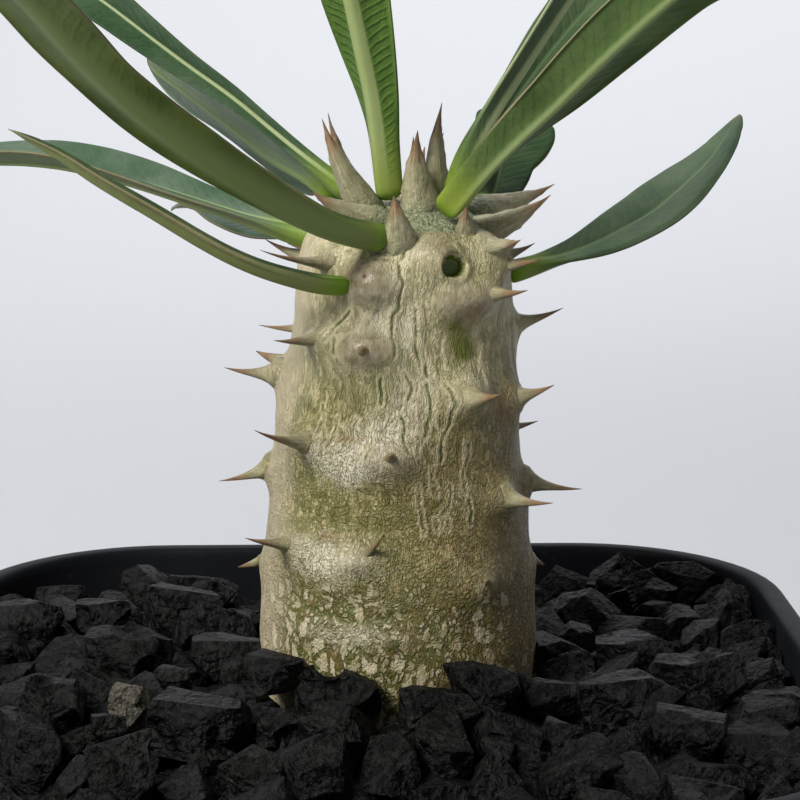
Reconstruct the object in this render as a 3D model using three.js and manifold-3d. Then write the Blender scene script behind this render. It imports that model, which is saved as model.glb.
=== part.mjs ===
// Potted pachypodium horombense: a bottle-shaped spiny stem with twelve
// leathery leaves, standing in a square black nursery pot filled with
// growing mix and topped with a layer of crushed black stone.
// Millimetres, +Z up. The origin is the centre of the pot's underside;
// the stem's best side faces -Y.
import * as THREE from 'three';
import * as BufferGeometryUtils from 'three/addons/utils/BufferGeometryUtils.js';
import Module from 'manifold-3d';

// ---------------------------------------------------------------- dimensions
const GAP = 0.3;             // clear gap between neighbouring pieces

const POT_TOP = 90;          // pot width over the rim
const POT_H = 80;            // pot height
const POT_BASE = 68;         // pot width at the base
const RIM_R = 21.8;          // corner radius of the rim in plan
const BASE_R = 14;           // corner radius of the base in plan
const RIM_BAND = 9;          // height of the thicker band under the rim
const RIM_STEP = 1.4;        // how far the band stands proud of the body
const WALL = 1.2;            // wall thickness of the body
const FLOOR = 2.0;           // floor thickness
const DRAIN_R = 4;           // drain hole radius
const DRAIN_AT = 19;         // drain holes stand this far from the centre in X and in Y

const GRAVEL_Z = 78;         // mean top of the crushed stone
const GRAVEL_BOTTOM = 66;    // underside of the crushed stone
const SOIL_TOP = GRAVEL_BOTTOM - GAP;

const STEM_X = 2.5;          // stem axis at the gravel line
const STEM_Y = -0.06;
const ROOT_TIP = 48;         // lowest point of the buried root
// height above the gravel line, radius
const STEM_PROFILE = [
  [-24, 5.2], [-17, 8.2], [-10, 11.0], [-5, 12.4], [-2, 12.9], [1, 13.3], [4.4, 13.6], [8.5, 13.25],
  [12, 13.1], [15.5, 12.7], [20, 12.2], [24.5, 11.9], [27.5, 11.75], [31.5, 10.95], [34.4, 10.6],
  [38.2, 10.3], [41, 10.1], [43.5, 9.4], [45.2, 8.0], [46.3, 5.4], [46.9, 2.6],
];
const STEM_TOP = 47.1;
// height above the gravel line, sideways drift of the axis
const STEM_DRIFT = [[-30, 0], [0, 0], [24, -0.3], [34, 0.24], [38, 0.43], [41, 0.48], [48, 0.48]];

const LEAF_BLADE = 0.75;     // blade thickness
const LEAF_RIB = 1.7;        // thickness through the midrib at mid length
const LEAF_STALK = 2.1;      // thickness of the stalk where it leaves the stem
// One leaf per entry. fold is how far each half of the blade is raised, in
// radians; each station is [x, y, z, nx, ny, nz, half width]: a point of the
// midrib, the direction the upper face looks, and half the blade's width.
const LEAVES = [
  { key: 'a', fold: 0, st: [[0.85, -9.02, 122.17, -0.35, 0.624, 0.698, 1.46], [-3.6, -12.6, 123.58, -0.234, 0.676, 0.699, 1.44], [-7.66, -16.14, 125.93, -0.166, 0.688, 0.706, 1.7], [-11.53, -19.7, 128.6, -0.114, 0.687, 0.718, 2.13], [-15.27, -23.27, 131.43, -0.078, 0.668, 0.74, 2.54], [-18.85, -26.85, 134.41, 0.044, 0.639, 0.768, 2.92], [-22.21, -30.38, 137.73, 0.179, 0.603, 0.778, 3.19], [-24.53, -33.02, 140.41, 0.278, 0.57, 0.773, 3.78], [-27.41, -36.6, 144.09, 0.369, 0.476, 0.798, 4.45], [-30.73, -40.18, 147.38, 0.31, 0.419, 0.853, 4.81], [-34.46, -43.76, 150.2, 0.165, 0.455, 0.875, 4.69], [-38.53, -47.3, 152.55, 0.023, 0.493, 0.87, 3.68], [-42.89, -50.79, 154.43, -0.098, 0.543, 0.834, 0.29]] },
  { key: 'b', fold: 0.8, st: [[-2.04, -9.53, 117.92, 0.079, -0.108, 0.991, 0.92], [-4.83, -10.42, 118.15, 0.175, -0.099, 0.98, 1.01], [-7.66, -10.95, 118.78, 0.282, -0.1, 0.954, 1.01], [-10.43, -11.33, 119.69, 0.365, -0.108, 0.925, 0.99], [-13.11, -11.58, 120.87, 0.448, -0.117, 0.886, 0.97], [-15.68, -11.81, 122.28, 0.514, -0.117, 0.849, 0.99], [-18.19, -12.03, 123.81, 0.528, -0.116, 0.841, 1.01], [-20.06, -12.2, 124.96, 0.522, -0.119, 0.845, 1.01], [-22.59, -12.39, 126.45, 0.508, -0.129, 0.852, 0.97], [-25.09, -12.53, 127.99, 0.552, -0.141, 0.822, 0.88], [-27.52, -12.6, 129.65, 0.539, -0.167, 0.826, 0.75], [-30.06, -12.49, 131.14, 0.447, -0.192, 0.874, 0.53], [-32.69, -12.2, 132.42, 0.385, -0.204, 0.9, 0.11]] },
  { key: 'c', fold: 0.53, st: [[-2.25, 0.54, 125.21, 0.187, -0.881, 0.434, 1.03], [-6.06, 1.13, 128.3, 0.122, -0.948, 0.293, 0.96], [-9.79, 1.6, 131.5, 0.018, -0.985, 0.174, 1.05], [-13.56, 2.11, 134.64, -0.085, -0.995, 0.048, 1.33], [-17.56, 2.56, 137.5, -0.173, -0.981, -0.088, 1.73], [-21.52, 3.05, 140.41, -0.131, -0.991, 0.003, 2.18], [-25.45, 3.58, 143.34, -0.052, -0.993, 0.109, 2.61], [-28.51, 3.96, 145.39, 0.002, -0.981, 0.191, 3.16], [-32.75, 4.47, 147.88, 0.058, -0.95, 0.308, 3.83], [-37.12, 4.97, 150.11, 0.069, -0.927, 0.369, 4.23], [-41.61, 5.48, 152.08, 0.049, -0.925, 0.378, 4.2], [-46.22, 5.99, 153.78, 0.029, -0.922, 0.385, 3.35], [-50.91, 6.5, 155.22, 0.014, -0.921, 0.39, 0.27]] },
  { key: 'd', fold: 0.018, st: [[-3.42, 4.08, 125.27, 0.778, 0.336, 0.53, 1.01], [-4.84, 6.91, 125.86, 0.762, 0.342, 0.55, 1.67], [-6.34, 9.71, 126.44, 0.742, 0.352, 0.57, 2.52], [-7.94, 12.47, 127, 0.726, 0.355, 0.589, 3.91], [-9.68, 15.12, 127.74, 0.735, 0.319, 0.598, 4.66], [-11.52, 17.6, 128.85, 0.756, 0.277, 0.593, 5.39], [-13.42, 19.96, 130.15, 0.756, 0.263, 0.599, 5.81], [-14.89, 21.73, 131.06, 0.748, 0.264, 0.609, 5.91], [-16.8, 24.08, 132.23, 0.742, 0.258, 0.618, 5.87], [-18.65, 26.42, 133.37, 0.754, 0.274, 0.597, 5.34], [-20.49, 28.78, 134.47, 0.777, 0.31, 0.548, 4.75], [-22.29, 31.18, 135.5, 0.798, 0.343, 0.496, 3.42], [-24.08, 33.6, 136.52, 0.815, 0.375, 0.442, 0.25]] },
  { key: 'e', fold: 0.42, st: [[-5.17, 2.11, 120.84, 0.022, -0.378, 0.925, 0.95], [-8.49, 3.44, 121.65, 0.125, -0.401, 0.907, 1.09], [-11.85, 4.5, 122.69, 0.162, -0.396, 0.904, 1.51], [-15.24, 5.48, 123.7, 0.154, -0.377, 0.913, 2.06], [-18.6, 6.57, 124.69, 0.147, -0.358, 0.922, 2.59], [-21.95, 7.72, 125.65, 0.16, -0.31, 0.937, 3.17], [-25.36, 8.74, 126.55, 0.161, -0.255, 0.954, 3.51], [-27.97, 9.42, 127.12, 0.138, -0.207, 0.969, 3.68], [-31.49, 10.28, 127.67, 0.075, -0.136, 0.988, 3.77], [-35.08, 11.05, 127.88, -0.008, -0.09, 0.996, 3.53], [-38.68, 11.74, 127.79, -0.072, -0.075, 0.995, 3.2], [-42.26, 12.43, 127.4, -0.172, -0.052, 0.984, 2.33], [-45.79, 13.1, 126.63, -0.25, -0.034, 0.968, 0.17]] },
  { key: 'f', fold: 0.089, st: [[-5.01, 6.12, 120.76, -0.623, -0.264, 0.736, 0.97], [-6.2, 8.79, 120.73, -0.591, -0.256, 0.765, 1.08], [-7.39, 11.45, 120.71, -0.557, -0.251, 0.791, 1.46], [-8.59, 14.11, 120.73, -0.523, -0.244, 0.817, 2.03], [-9.81, 16.77, 120.76, -0.487, -0.237, 0.841, 2.66], [-11.05, 19.41, 120.8, -0.362, -0.19, 0.912, 3.39], [-12.31, 22.04, 120.87, -0.217, -0.133, 0.967, 4.04], [-13.28, 24, 120.93, -0.105, -0.086, 0.991, 4.48], [-14.63, 26.59, 121.02, 0.045, -0.017, 0.999, 4.87], [-16.06, 29.13, 121.14, 0.049, -0.021, 0.999, 4.87], [-17.56, 31.63, 121.25, -0.081, -0.084, 0.993, 4.41], [-19.13, 34.09, 121.31, -0.207, -0.152, 0.966, 3.22], [-20.75, 36.52, 121.33, -0.323, -0.226, 0.919, 0.24]] },
  { key: 'g', fold: 0.34, st: [[1.42, -3.03, 125.16, 0.66, 0.698, 0.276, 1.41], [0.79, -4.16, 129.87, 0.579, 0.776, 0.252, 1.65], [-0.01, -5.2, 134.56, 0.481, 0.829, 0.285, 2.33], [-1.03, -6.27, 139.21, 0.38, 0.877, 0.294, 3.08], [-2.06, -7.43, 143.84, 0.272, 0.911, 0.309, 3.64], [-3.11, -8.8, 148.41, 0.25, 0.901, 0.355, 4.11], [-4.16, -10.41, 152.89, 0.239, 0.885, 0.399, 4.39], [-4.96, -11.76, 156.2, 0.232, 0.872, 0.432, 5], [-6.02, -13.75, 160.52, 0.221, 0.852, 0.474, 5.62], [-7.09, -15.96, 164.74, 0.211, 0.831, 0.515, 5.81], [-8.16, -18.37, 168.85, 0.201, 0.807, 0.555, 5.43], [-9.22, -20.98, 172.83, 0.191, 0.783, 0.593, 4.1], [-10.28, -23.78, 176.69, 0.183, 0.763, 0.62, 0.32]] },
  { key: 'h', fold: 0.411, st: [[6.64, -6.18, 124.12, -0.271, 0.69, 0.671, 1.75], [9.51, -9.07, 128.02, -0.159, 0.705, 0.691, 1.83], [12.63, -12.22, 131.51, -0.015, 0.679, 0.734, 2.33], [15.61, -15.84, 134.64, 0.091, 0.683, 0.724, 2.89], [18.36, -19.6, 137.85, 0.173, 0.709, 0.684, 3.25], [21.21, -23.31, 141.01, 0.238, 0.736, 0.634, 3.43], [24.22, -26.96, 144.08, 0.314, 0.739, 0.596, 3.42], [26.54, -29.77, 146.24, 0.376, 0.73, 0.57, 4.14], [29.74, -33.59, 148.88, 0.45, 0.723, 0.524, 5.01], [33.1, -37.47, 151.24, 0.488, 0.713, 0.503, 5.54], [36.6, -41.4, 153.3, 0.5, 0.699, 0.51, 5.5], [40.22, -45.35, 155.06, 0.513, 0.686, 0.516, 4.38], [43.94, -49.33, 156.54, 0.523, 0.675, 0.52, 0.36]] },
  { key: 'i', fold: 0.04, st: [[7.24, -2.19, 125.03, -0.868, 0.437, 0.237, 1.04], [8.62, -2.7, 129.51, -0.817, 0.401, 0.416, 1.1], [10.89, -3.31, 133.62, -0.763, 0.368, 0.532, 1.42], [13.4, -4.02, 137.56, -0.755, 0.347, 0.557, 1.94], [15.9, -4.9, 141.47, -0.758, 0.329, 0.563, 2.57], [18.46, -5.82, 145.34, -0.74, 0.325, 0.589, 3.3], [21.17, -6.73, 149.11, -0.718, 0.322, 0.618, 3.98], [23.3, -7.43, 151.86, -0.7, 0.319, 0.639, 4.46], [26.25, -8.38, 155.43, -0.675, 0.316, 0.667, 4.92], [29.33, -9.35, 158.88, -0.649, 0.31, 0.695, 4.99], [32.55, -10.35, 162.2, -0.623, 0.302, 0.722, 4.58], [35.9, -11.37, 165.38, -0.595, 0.293, 0.749, 3.4], [39.36, -12.4, 168.43, -0.573, 0.287, 0.768, 0.26]] },
  { key: 'j', fold: 0.35, st: [[10.3, 2.75, 123.92, 0.443, -0.151, 0.884, 1.11], [11, 5.14, 124, 0.457, -0.178, 0.872, 1.33], [11.6, 7.56, 124.22, 0.47, -0.215, 0.856, 1.93], [12.07, 9.97, 124.67, 0.478, -0.283, 0.831, 2.55], [12.49, 12.35, 125.31, 0.492, -0.326, 0.808, 2.97], [12.89, 14.7, 126.05, 0.453, -0.341, 0.824, 3.31], [13.32, 17.05, 126.78, 0.41, -0.334, 0.849, 3.47], [13.68, 18.82, 127.3, 0.375, -0.337, 0.864, 4.02], [14.19, 21.16, 128.02, 0.327, -0.343, 0.881, 4.6], [14.71, 23.5, 128.72, 0.273, -0.324, 0.906, 4.84], [15.2, 25.86, 129.38, 0.21, -0.294, 0.932, 4.61], [15.68, 28.23, 130, 0.145, -0.269, 0.952, 3.54], [16.14, 30.62, 130.59, 0.078, -0.248, 0.966, 0.28]] },
  { key: 'k', fold: 0.088, st: [[12.92, 0.68, 117.85, 0.14, -0.3, 0.944, 0.98], [15.23, 2.63, 118.2, 0.107, -0.344, 0.933, 1.03], [17.62, 4.45, 118.66, 0.098, -0.367, 0.925, 1.31], [20.01, 6.26, 119.14, 0.078, -0.397, 0.915, 1.82], [22.43, 7.94, 119.87, -0.006, -0.47, 0.883, 2.48], [24.83, 9.56, 120.8, -0.076, -0.409, 0.909, 3.27], [27.17, 11.24, 121.77, -0.165, -0.342, 0.925, 4.02], [28.84, 12.53, 122.63, -0.276, -0.325, 0.905, 4.48], [30.91, 14.24, 124.05, -0.412, -0.295, 0.862, 4.88], [32.99, 15.78, 125.65, -0.505, -0.217, 0.835, 4.9], [35, 17.23, 127.41, -0.641, -0.165, 0.749, 4.45], [36.69, 18.72, 129.45, -0.763, -0.115, 0.637, 3.27], [38.2, 20.06, 131.72, -0.842, -0.037, 0.539, 0.25]] },
  { key: 'l', fold: 0.281, st: [[8.66, 4.78, 125.37, 0.057, -0.764, 0.643, 1.6], [10.43, 7.21, 128.15, 0.063, -0.781, 0.621, 1.58], [12.31, 9.5, 130.96, 0.063, -0.804, 0.591, 1.87], [14.32, 11.72, 133.74, 0.089, -0.796, 0.599, 2.36], [16.46, 14.03, 136.35, 0.12, -0.783, 0.611, 2.87], [18.68, 16.35, 138.89, 0.123, -0.788, 0.603, 3.37], [21.04, 18.57, 141.38, 0.119, -0.798, 0.591, 3.74], [22.89, 20.22, 143.18, 0.139, -0.784, 0.604, 4.28], [25.39, 22.57, 145.41, 0.188, -0.744, 0.641, 4.85], [27.97, 25.08, 147.34, 0.236, -0.701, 0.673, 5.05], [30.65, 27.72, 148.95, 0.282, -0.656, 0.7, 4.76], [33.39, 30.47, 150.21, 0.33, -0.608, 0.722, 3.62], [36.19, 33.3, 151.14, 0.365, -0.573, 0.734, 0.28]] },
];
// Each thorn: foot on the stem's skin, tip, and the radius of its foot.
const SPINES = [
  [-4.93, -7.29, 112.83, -9.26, -11.34, 113.16, 1.25],
  [-0.87, -10.06, 112.13, -1.03, -12.5, 112.62, 1.9],
  [-9.22, 0.1, 108.12, -14.43, 0.18, 108.71, 1.3],
  [-8, 3.4, 108.69, -11.55, 4.57, 109.6, 1.2],
  [-5.91, -8.66, 103.15, -11.01, -14.03, 105.35, 1.2],
  [1.38, -11.93, 102.37, 1.33, -13.93, 103.03, 1.7],
  [-9.94, -0.32, 98.89, -15.04, -0.44, 97.65, 1.2],
  [-7.49, -8.14, 93.44, -12.11, -11.95, 94.81, 1.25],
  [-11.01, -0.47, 89.73, -13.16, -0.54, 89.05, 1],
  [-1.5, -11.5, 92.7, 0.7, -14.75, 95.75, 1.05],
  [10.1, -10.58, 90.19, 10.18, -11.62, 90.56, 1.1],
  [1.25, -13.32, 85.73, 1.24, -13.77, 85.96, 0.7],
  [-10.27, 4.41, 81.2, -11.24, 3.48, 81.58, 0.8],
  [15.4, 1.46, 89.26, 16.66, 1.61, 88.5, 1.1],
  [11.94, -7.56, 97.54, 16.43, -11.04, 97.75, 1.35],
  [14.55, -0.71, 97.55, 20.19, -1.01, 96.79, 1.25],
  [8.46, -9.72, 107.45, 11.45, -14.56, 108.74, 1.6],
  [13.01, -4.65, 106.68, 16.83, -6.31, 108.02, 1.4],
  [7.05, -9.47, 116.75, 6.9, -10.61, 117.09, 1.6],
  [9.82, -7.65, 117.05, 13.79, -12.04, 117.79, 1.5],
  [13.22, 1.57, 112.75, 18.43, 2.4, 114.08, 1.3],
  [11.12, -5.89, 119.43, 15.25, -8.84, 120.25, 1.4],
  [12.17, 4.11, 118.98, 15.92, 5.82, 120.05, 1.2],
  [10.14, -6.59, 121.11, 13.31, -9.47, 122.08, 1.3],
  [-4, -7.14, 119.82, -10.42, -11.94, 121.52, 0.95],
  [-5.99, 4.62, 118.78, -10.64, 7.05, 120.38, 1.3],
  [-0.21, -9.72, 118.19, -0.94, -10.93, 119.12, 1.7],
  [5.06, -9.58, 120.83, 5, -10.54, 121.08, 1.5],
  [9.89, -2.74, 121.99, 16.4, -5.4, 125.83, 1.9],
  [10.37, 2.25, 123.67, 17.63, 4.07, 126, 1.7],
  [8.48, -6.21, 121.72, 8.35, -8.41, 125.15, 1],
  [4.38, -3.71, 124.27, 4.02, -5.1, 131.77, 1.7],
  [6.19, -0.65, 124.92, 6.45, -0.66, 134.11, 1.7],
  [4.07, 1.4, 124.73, 3.82, 1.91, 130.71, 1],
  [-0.96, -3.18, 124.61, -4.82, -5.38, 132.87, 1.7],
  [-1.12, -0.47, 124.44, -4.31, 0.61, 133.08, 1.3],
  [-0.52, -6.19, 123.7, -5.99, -8.86, 126.64, 1.6],
  [2.19, -9.06, 121.42, 1.63, -11.54, 126.52, 1.5],
  [12.13, 8.9, 86.9, 14.76, 10.46, 87.19, 1.32],
  [6.75, 12.38, 88.1, 7.44, 16.29, 88.56, 1.12],
  [-0.97, 12.98, 83.9, -1.25, 15.87, 84.41, 1.34],
  [-6.64, 9.78, 85.1, -8.96, 11.93, 85.24, 1.37],
  [7.38, 11.66, 92.9, 9.31, 14.75, 93.86, 1.11],
  [1.28, 12.54, 94.1, -0.05, 16.61, 94.21, 1.26],
  [-2.95, 11.4, 94.4, -4.48, 15.76, 94.97, 1.33],
  [-7.62, 7.52, 95.6, -11.59, 9.69, 95.68, 1.25],
  [12.29, 6.4, 101.4, 16.65, 8.32, 101.74, 1.35],
  [8.07, 10.31, 102.6, 10.1, 15.26, 103.35, 1.18],
  [2.91, 11.87, 101.9, 3.83, 16.63, 102.72, 1.21],
  [-2.68, 10.74, 103.1, -5.63, 14.82, 103.54, 1.37],
  [10.22, 8.05, 108.4, 14.44, 11.03, 108.86, 1.23],
  [5.51, 10.48, 109.6, 6.15, 16.39, 110.12, 1.1],
  [-1.51, 9.94, 110.4, -2.55, 15.04, 111.04, 1.31],
  [-5.55, 6.72, 111.6, -11.4, 9.91, 111.38, 1.19],
  [5.98, 9.89, 114.4, 8.47, 15.55, 116.1, 1.38],
  [1.01, 10.1, 115.6, -1.24, 16.49, 117.17, 1.14],
  [0.4, 9.78, 117.9, -0.25, 15.92, 119.12, 1.25],
  [-3.84, 7.35, 119.1, -8.52, 11.27, 119.45, 1.19],
  [11.38, 5.75, 116.9, 16.69, 8.39, 117.48, 1.33],
  [7.64, 8.95, 118.1, 9.86, 15.7, 118.83, 1.33],
  [-0.87, 5.52, 123, -4.23, 11.11, 129.5, 1.6],
  [3.66, 6.41, 123, 5.32, 12.87, 129, 1.6],
  [8.13, 5.3, 122.2, 10.78, 11.24, 127.5, 1.5],
  [5.34, 1.67, 124.2, 6.78, 3.34, 131, 1.5],
];
// Each larger stone: key, centre, and its size along X, Y and Z.
const STONES = [
  ['a', -24.57, 2.87, 79, 7.7, 6.54, 5.82],
  ['b', -23.06, -12.82, 79, 3.91, 3.32, 4.33],
  ['c', -16, -17.89, 79, 9.92, 6.94, 4.96],
  ['d', -19.52, -6.07, 79, 3.56, 3.02, 3.46],
  ['e', -14.61, 3.14, 79, 7.71, 6.56, 3.86],
  ['f', -9.56, -9.23, 81.26, 5.68, 4.83, 3.51],
  ['h', -3.54, -14.5, 80.36, 8.05, 5.63, 4.02],
  ['i', -8.24, -19.2, 79, 5.16, 4.38, 3.35],
  ['j', -4.42, -22.72, 79, 5.25, 4.46, 3.72],
  ['k', -30.22, -12.35, 79, 6.06, 5.15, 5.1],
  ['l', -24.25, -19.36, 79, 3.07, 2.61, 2.81],
  ['n', -28.63, 18.37, 79, 5.76, 4.9, 3.02],
  ['o', -20.29, 17.78, 79, 8.09, 5.67, 5.96],
  ['p', 17.43, 2.87, 79, 4.82, 4.1, 3.22],
  ['q', 26.22, 2.65, 79, 7.73, 6.57, 3.87],
  ['r', 31.19, -5.88, 79, 9.29, 6.5, 4.65],
  ['s', 23.95, -12.94, 79, 10.2, 7.14, 5.1],
  ['t', 9.83, -13.81, 80.95, 7.52, 6.4, 3.93],
  ['u', 5.89, -15.86, 79, 7.55, 6.42, 4.52],
  ['v', 16.14, -11.09, 79, 5.56, 4.73, 3.29],
  ['w', 27.51, -21.18, 79, 7.65, 6.5, 3.83],
  ['x', 35.81, -16.88, 79, 6.16, 5.24, 3.08],
  ['aa', 16.07, -23.49, 79, 4.62, 3.93, 3.66],
];

// --------------------------------------------------------------- mesh helpers
const wasm = await Module();
wasm.setup();

function rng(seed) {
  let s = seed >>> 0;
  return () => {
    s = (s + 0x6d2b79f5) >>> 0;
    let t = s;
    t = Math.imul(t ^ (t >>> 15), t | 1);
    t ^= t + Math.imul(t ^ (t >>> 7), t | 61);
    return ((t ^ (t >>> 14)) >>> 0) / 4294967296;
  };
}

// a table of [x, value] pairs read at x
function table(rows, x) {
  if (x <= rows[0][0]) return rows[0][1];
  for (let i = 1; i < rows.length; i++) {
    if (x <= rows[i][0]) {
      const f = (x - rows[i - 1][0]) / (rows[i][0] - rows[i - 1][0]);
      return rows[i - 1][1] + f * (rows[i][1] - rows[i - 1][1]);
    }
  }
  return rows[rows.length - 1][1];
}

function geometryOf(positions, index) {
  const g = new THREE.BufferGeometry();
  g.setAttribute('position', new THREE.Float32BufferAttribute(positions, 3));
  g.setIndex(index);
  return g;
}

// A closed skin over a list of rings with the same number of points, each end
// closed on its own centre point. Rings run counter-clockwise seen from the
// end that is built last.
function loft(rings, startCentre, endCentre) {
  const n = rings[0].length;
  const pos = [];
  for (const ring of rings) for (const p of ring) pos.push(p[0], p[1], p[2]);
  const a = pos.length / 3;
  pos.push(...startCentre);
  const b = pos.length / 3;
  pos.push(...endCentre);
  const idx = [];
  for (let i = 0; i < n; i++) idx.push(a, (i + 1) % n, i);
  for (let r = 0; r + 1 < rings.length; r++) {
    for (let i = 0; i < n; i++) {
      const j = (i + 1) % n;
      const p = r * n + i, q = r * n + j, s = (r + 1) * n + i, t = (r + 1) * n + j;
      idx.push(p, q, t, p, t, s);
    }
  }
  const last = (rings.length - 1) * n;
  for (let i = 0; i < n; i++) idx.push(b, last + i, last + (i + 1) % n);
  return geometryOf(pos, idx);
}

function solid(geometry) {
  let g = geometry.clone();
  g.deleteAttribute('normal');
  g.deleteAttribute('uv');
  g = BufferGeometryUtils.mergeVertices(g, 1e-5);
  return new wasm.Manifold(new wasm.Mesh({
    numProp: 3,
    vertProperties: new Float32Array(g.attributes.position.array),
    triVerts: new Uint32Array(g.index.array),
  }));
}

// The largest connected piece of a solid, as a geometry.
function geometryFrom(manifold) {
  const mesh = manifold.getMesh();
  const v = mesh.vertProperties, t = mesh.triVerts, step = mesh.numProp;
  const n = v.length / step;
  const parent = new Int32Array(n).map((_, i) => i);
  const find = (i) => { while (parent[i] !== i) { parent[i] = parent[parent[i]]; i = parent[i]; } return i; };
  for (let k = 0; k < t.length; k += 3) {
    const a = find(t[k]), b = find(t[k + 1]); if (a !== b) parent[a] = b;
    const c = find(t[k + 1]), d = find(t[k + 2]); if (c !== d) parent[c] = d;
  }
  const vol = new Map();
  const P = (i) => new THREE.Vector3(v[i * step], v[i * step + 1], v[i * step + 2]);
  for (let k = 0; k < t.length; k += 3) {
    const r = find(t[k]);
    const q = P(t[k]).dot(P(t[k + 1]).cross(P(t[k + 2]))) / 6;
    vol.set(r, (vol.get(r) || 0) + q);
  }
  let best = -1, bestVol = -Infinity;
  for (const [r, q] of vol) if (q > bestVol) { bestVol = q; best = r; }
  const map = new Int32Array(n).fill(-1);
  const pos = [], idx = [];
  for (let k = 0; k < t.length; k += 3) {
    if (find(t[k]) !== best) continue;
    for (let j = 0; j < 3; j++) {
      const i = t[k + j];
      if (map[i] < 0) { map[i] = pos.length / 3; pos.push(v[i * step], v[i * step + 1], v[i * step + 2]); }
      idx.push(map[i]);
    }
  }
  return geometryOf(pos, idx);
}

const object = new THREE.Group();
object.name = 'potted_pachypodium';

function addMesh(name, geometry, colour, roughness) {
  geometry.computeVertexNormals();
  const mesh = new THREE.Mesh(geometry, new THREE.MeshStandardMaterial({
    color: new THREE.Color(colour), roughness, metalness: 0, flatShading: true,
  }));
  mesh.name = name;
  object.add(mesh);
  return mesh;
}

// ------------------------------------------------------------------------ pot
// Points of a square with rounded corners, counter-clockwise seen from above.
function roundedSquare(half, radius, z, perCorner = 7) {
  const pts = [];
  const c = half - radius;
  for (let q = 0; q < 4; q++) {
    const cx = [c, -c, -c, c][q], cy = [c, c, -c, -c][q];
    for (let i = 0; i <= perCorner; i++) {
      const a = (q + i / perCorner) * Math.PI / 2;
      pts.push([cx + radius * Math.cos(a), cy + radius * Math.sin(a), z]);
    }
  }
  return pts;
}

// half width of the pot body's outside, and its corner radius, at height z
const bodyHalf = (z) => POT_BASE / 2 + (POT_TOP / 2 - RIM_STEP - POT_BASE / 2) * z / POT_H;
const bodyR = (z) => BASE_R + (RIM_R - RIM_STEP - BASE_R) * z / POT_H;
const innerHalf = (z) => bodyHalf(z) - WALL;
const innerR = (z) => Math.max(bodyR(z) - WALL, 2);

function makePot() {
  const top = POT_TOP / 2;
  const band = POT_H - RIM_BAND;
  const rings = [
    roundedSquare(POT_BASE / 2 - 0.8, BASE_R - 0.8, 0),
    roundedSquare(POT_BASE / 2, BASE_R, 1.2),
    roundedSquare(bodyHalf(band - 0.6), bodyR(band - 0.6), band - 0.6),
    roundedSquare(bodyHalf(band) + RIM_STEP * 0.85, bodyR(band) + RIM_STEP * 0.85, band),
    roundedSquare(top, RIM_R, POT_H - 0.8),
    roundedSquare(top - 0.25, RIM_R - 0.25, POT_H - 0.2),
    roundedSquare(top - 0.8, RIM_R - 0.8, POT_H),
    roundedSquare(innerHalf(POT_H) + 0.55, innerR(POT_H) + 0.55, POT_H),
    roundedSquare(innerHalf(POT_H), innerR(POT_H), POT_H - 0.6),
    roundedSquare(innerHalf(FLOOR), innerR(FLOOR), FLOOR),
  ];
  let pot = solid(loft(rings, [0, 0, 0], [0, 0, FLOOR]));
  for (const sx of [-1, 1]) {
    for (const sy of [-1, 1]) {
      const drill = new THREE.CylinderGeometry(DRAIN_R, DRAIN_R, 6, 20);
      drill.rotateX(Math.PI / 2);
      drill.translate(sx * DRAIN_AT, sy * DRAIN_AT, FLOOR / 2);
      pot = pot.subtract(solid(drill));
    }
  }
  return geometryFrom(pot);
}

// A block that fills the pot between two heights, clear of its wall.
function fill(z0, z1) {
  const r = (z) => roundedSquare(innerHalf(z) - GAP, Math.max(innerR(z) - GAP, 1), z);
  return solid(loft([r(z0), r(z1)], [0, 0, z0], [0, 0, z1]));
}

// ----------------------------------------------------------------------- stem
const stemRadius = (h) => table(STEM_PROFILE, h);
const stemDrift = (h) => table(STEM_DRIFT, h);

function stemBody(grow, around = 28) {
  const rings = [];
  for (const [h, r] of STEM_PROFILE) {
    const ring = [];
    const z = GRAVEL_Z + h + (h > 43 ? grow * 0.9 : 0) - (h < -20 ? grow : 0);
    for (let i = 0; i < around; i++) {
      const a = 2 * Math.PI * (i + 0.5) / around;
      ring.push([STEM_X + stemDrift(h) + (r + grow) * Math.cos(a), STEM_Y + (r + grow) * Math.sin(a), z]);
    }
    rings.push(ring);
  }
  const top = STEM_X + stemDrift(STEM_TOP);
  return solid(loft(rings, [STEM_X, STEM_Y, ROOT_TIP - grow], [top, STEM_Y, GRAVEL_Z + STEM_TOP + grow]));
}

// A thorn: a five-sided cone on a slightly swollen foot, set into the stem.
function thorn([bx, by, bz, tx, ty, tz, r], grow) {
  const base = new THREE.Vector3(bx, by, bz);
  const tip = new THREE.Vector3(tx, ty, tz);
  const dir = tip.clone().sub(base);
  const length = dir.length();
  dir.normalize();
  const side = new THREE.Vector3(0, 0, 1).cross(dir);
  if (side.length() < 0.2) side.set(1, 0, 0);
  side.normalize();
  const up = dir.clone().cross(side).normalize();
  const ring = (s, rad) => {
    const out = [];
    for (let i = 0; i < 5; i++) {
      const a = i * Math.PI / 2.5;
      const p = base.clone().addScaledVector(dir, s)
        .addScaledVector(side, rad * Math.cos(a)).addScaledVector(up, rad * Math.sin(a));
      out.push([p.x, p.y, p.z]);
    }
    return out;
  };
  const rings = [ring(-2.2, r * 1.3 + grow), ring(0.3 * length, r * 0.72 + grow), ring(0.94 * length, r * 0.12 + grow)];
  const s0 = base.clone().addScaledVector(dir, -2.4);
  const s1 = tip.clone().addScaledVector(dir, grow);
  return solid(loft(rings, [s0.x, s0.y, s0.z], [s1.x, s1.y, s1.z]));
}

function makeStem(grow) {
  let stem = stemBody(grow);
  for (const s of SPINES) stem = stem.add(thorn(s, grow));
  return stem;
}

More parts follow.
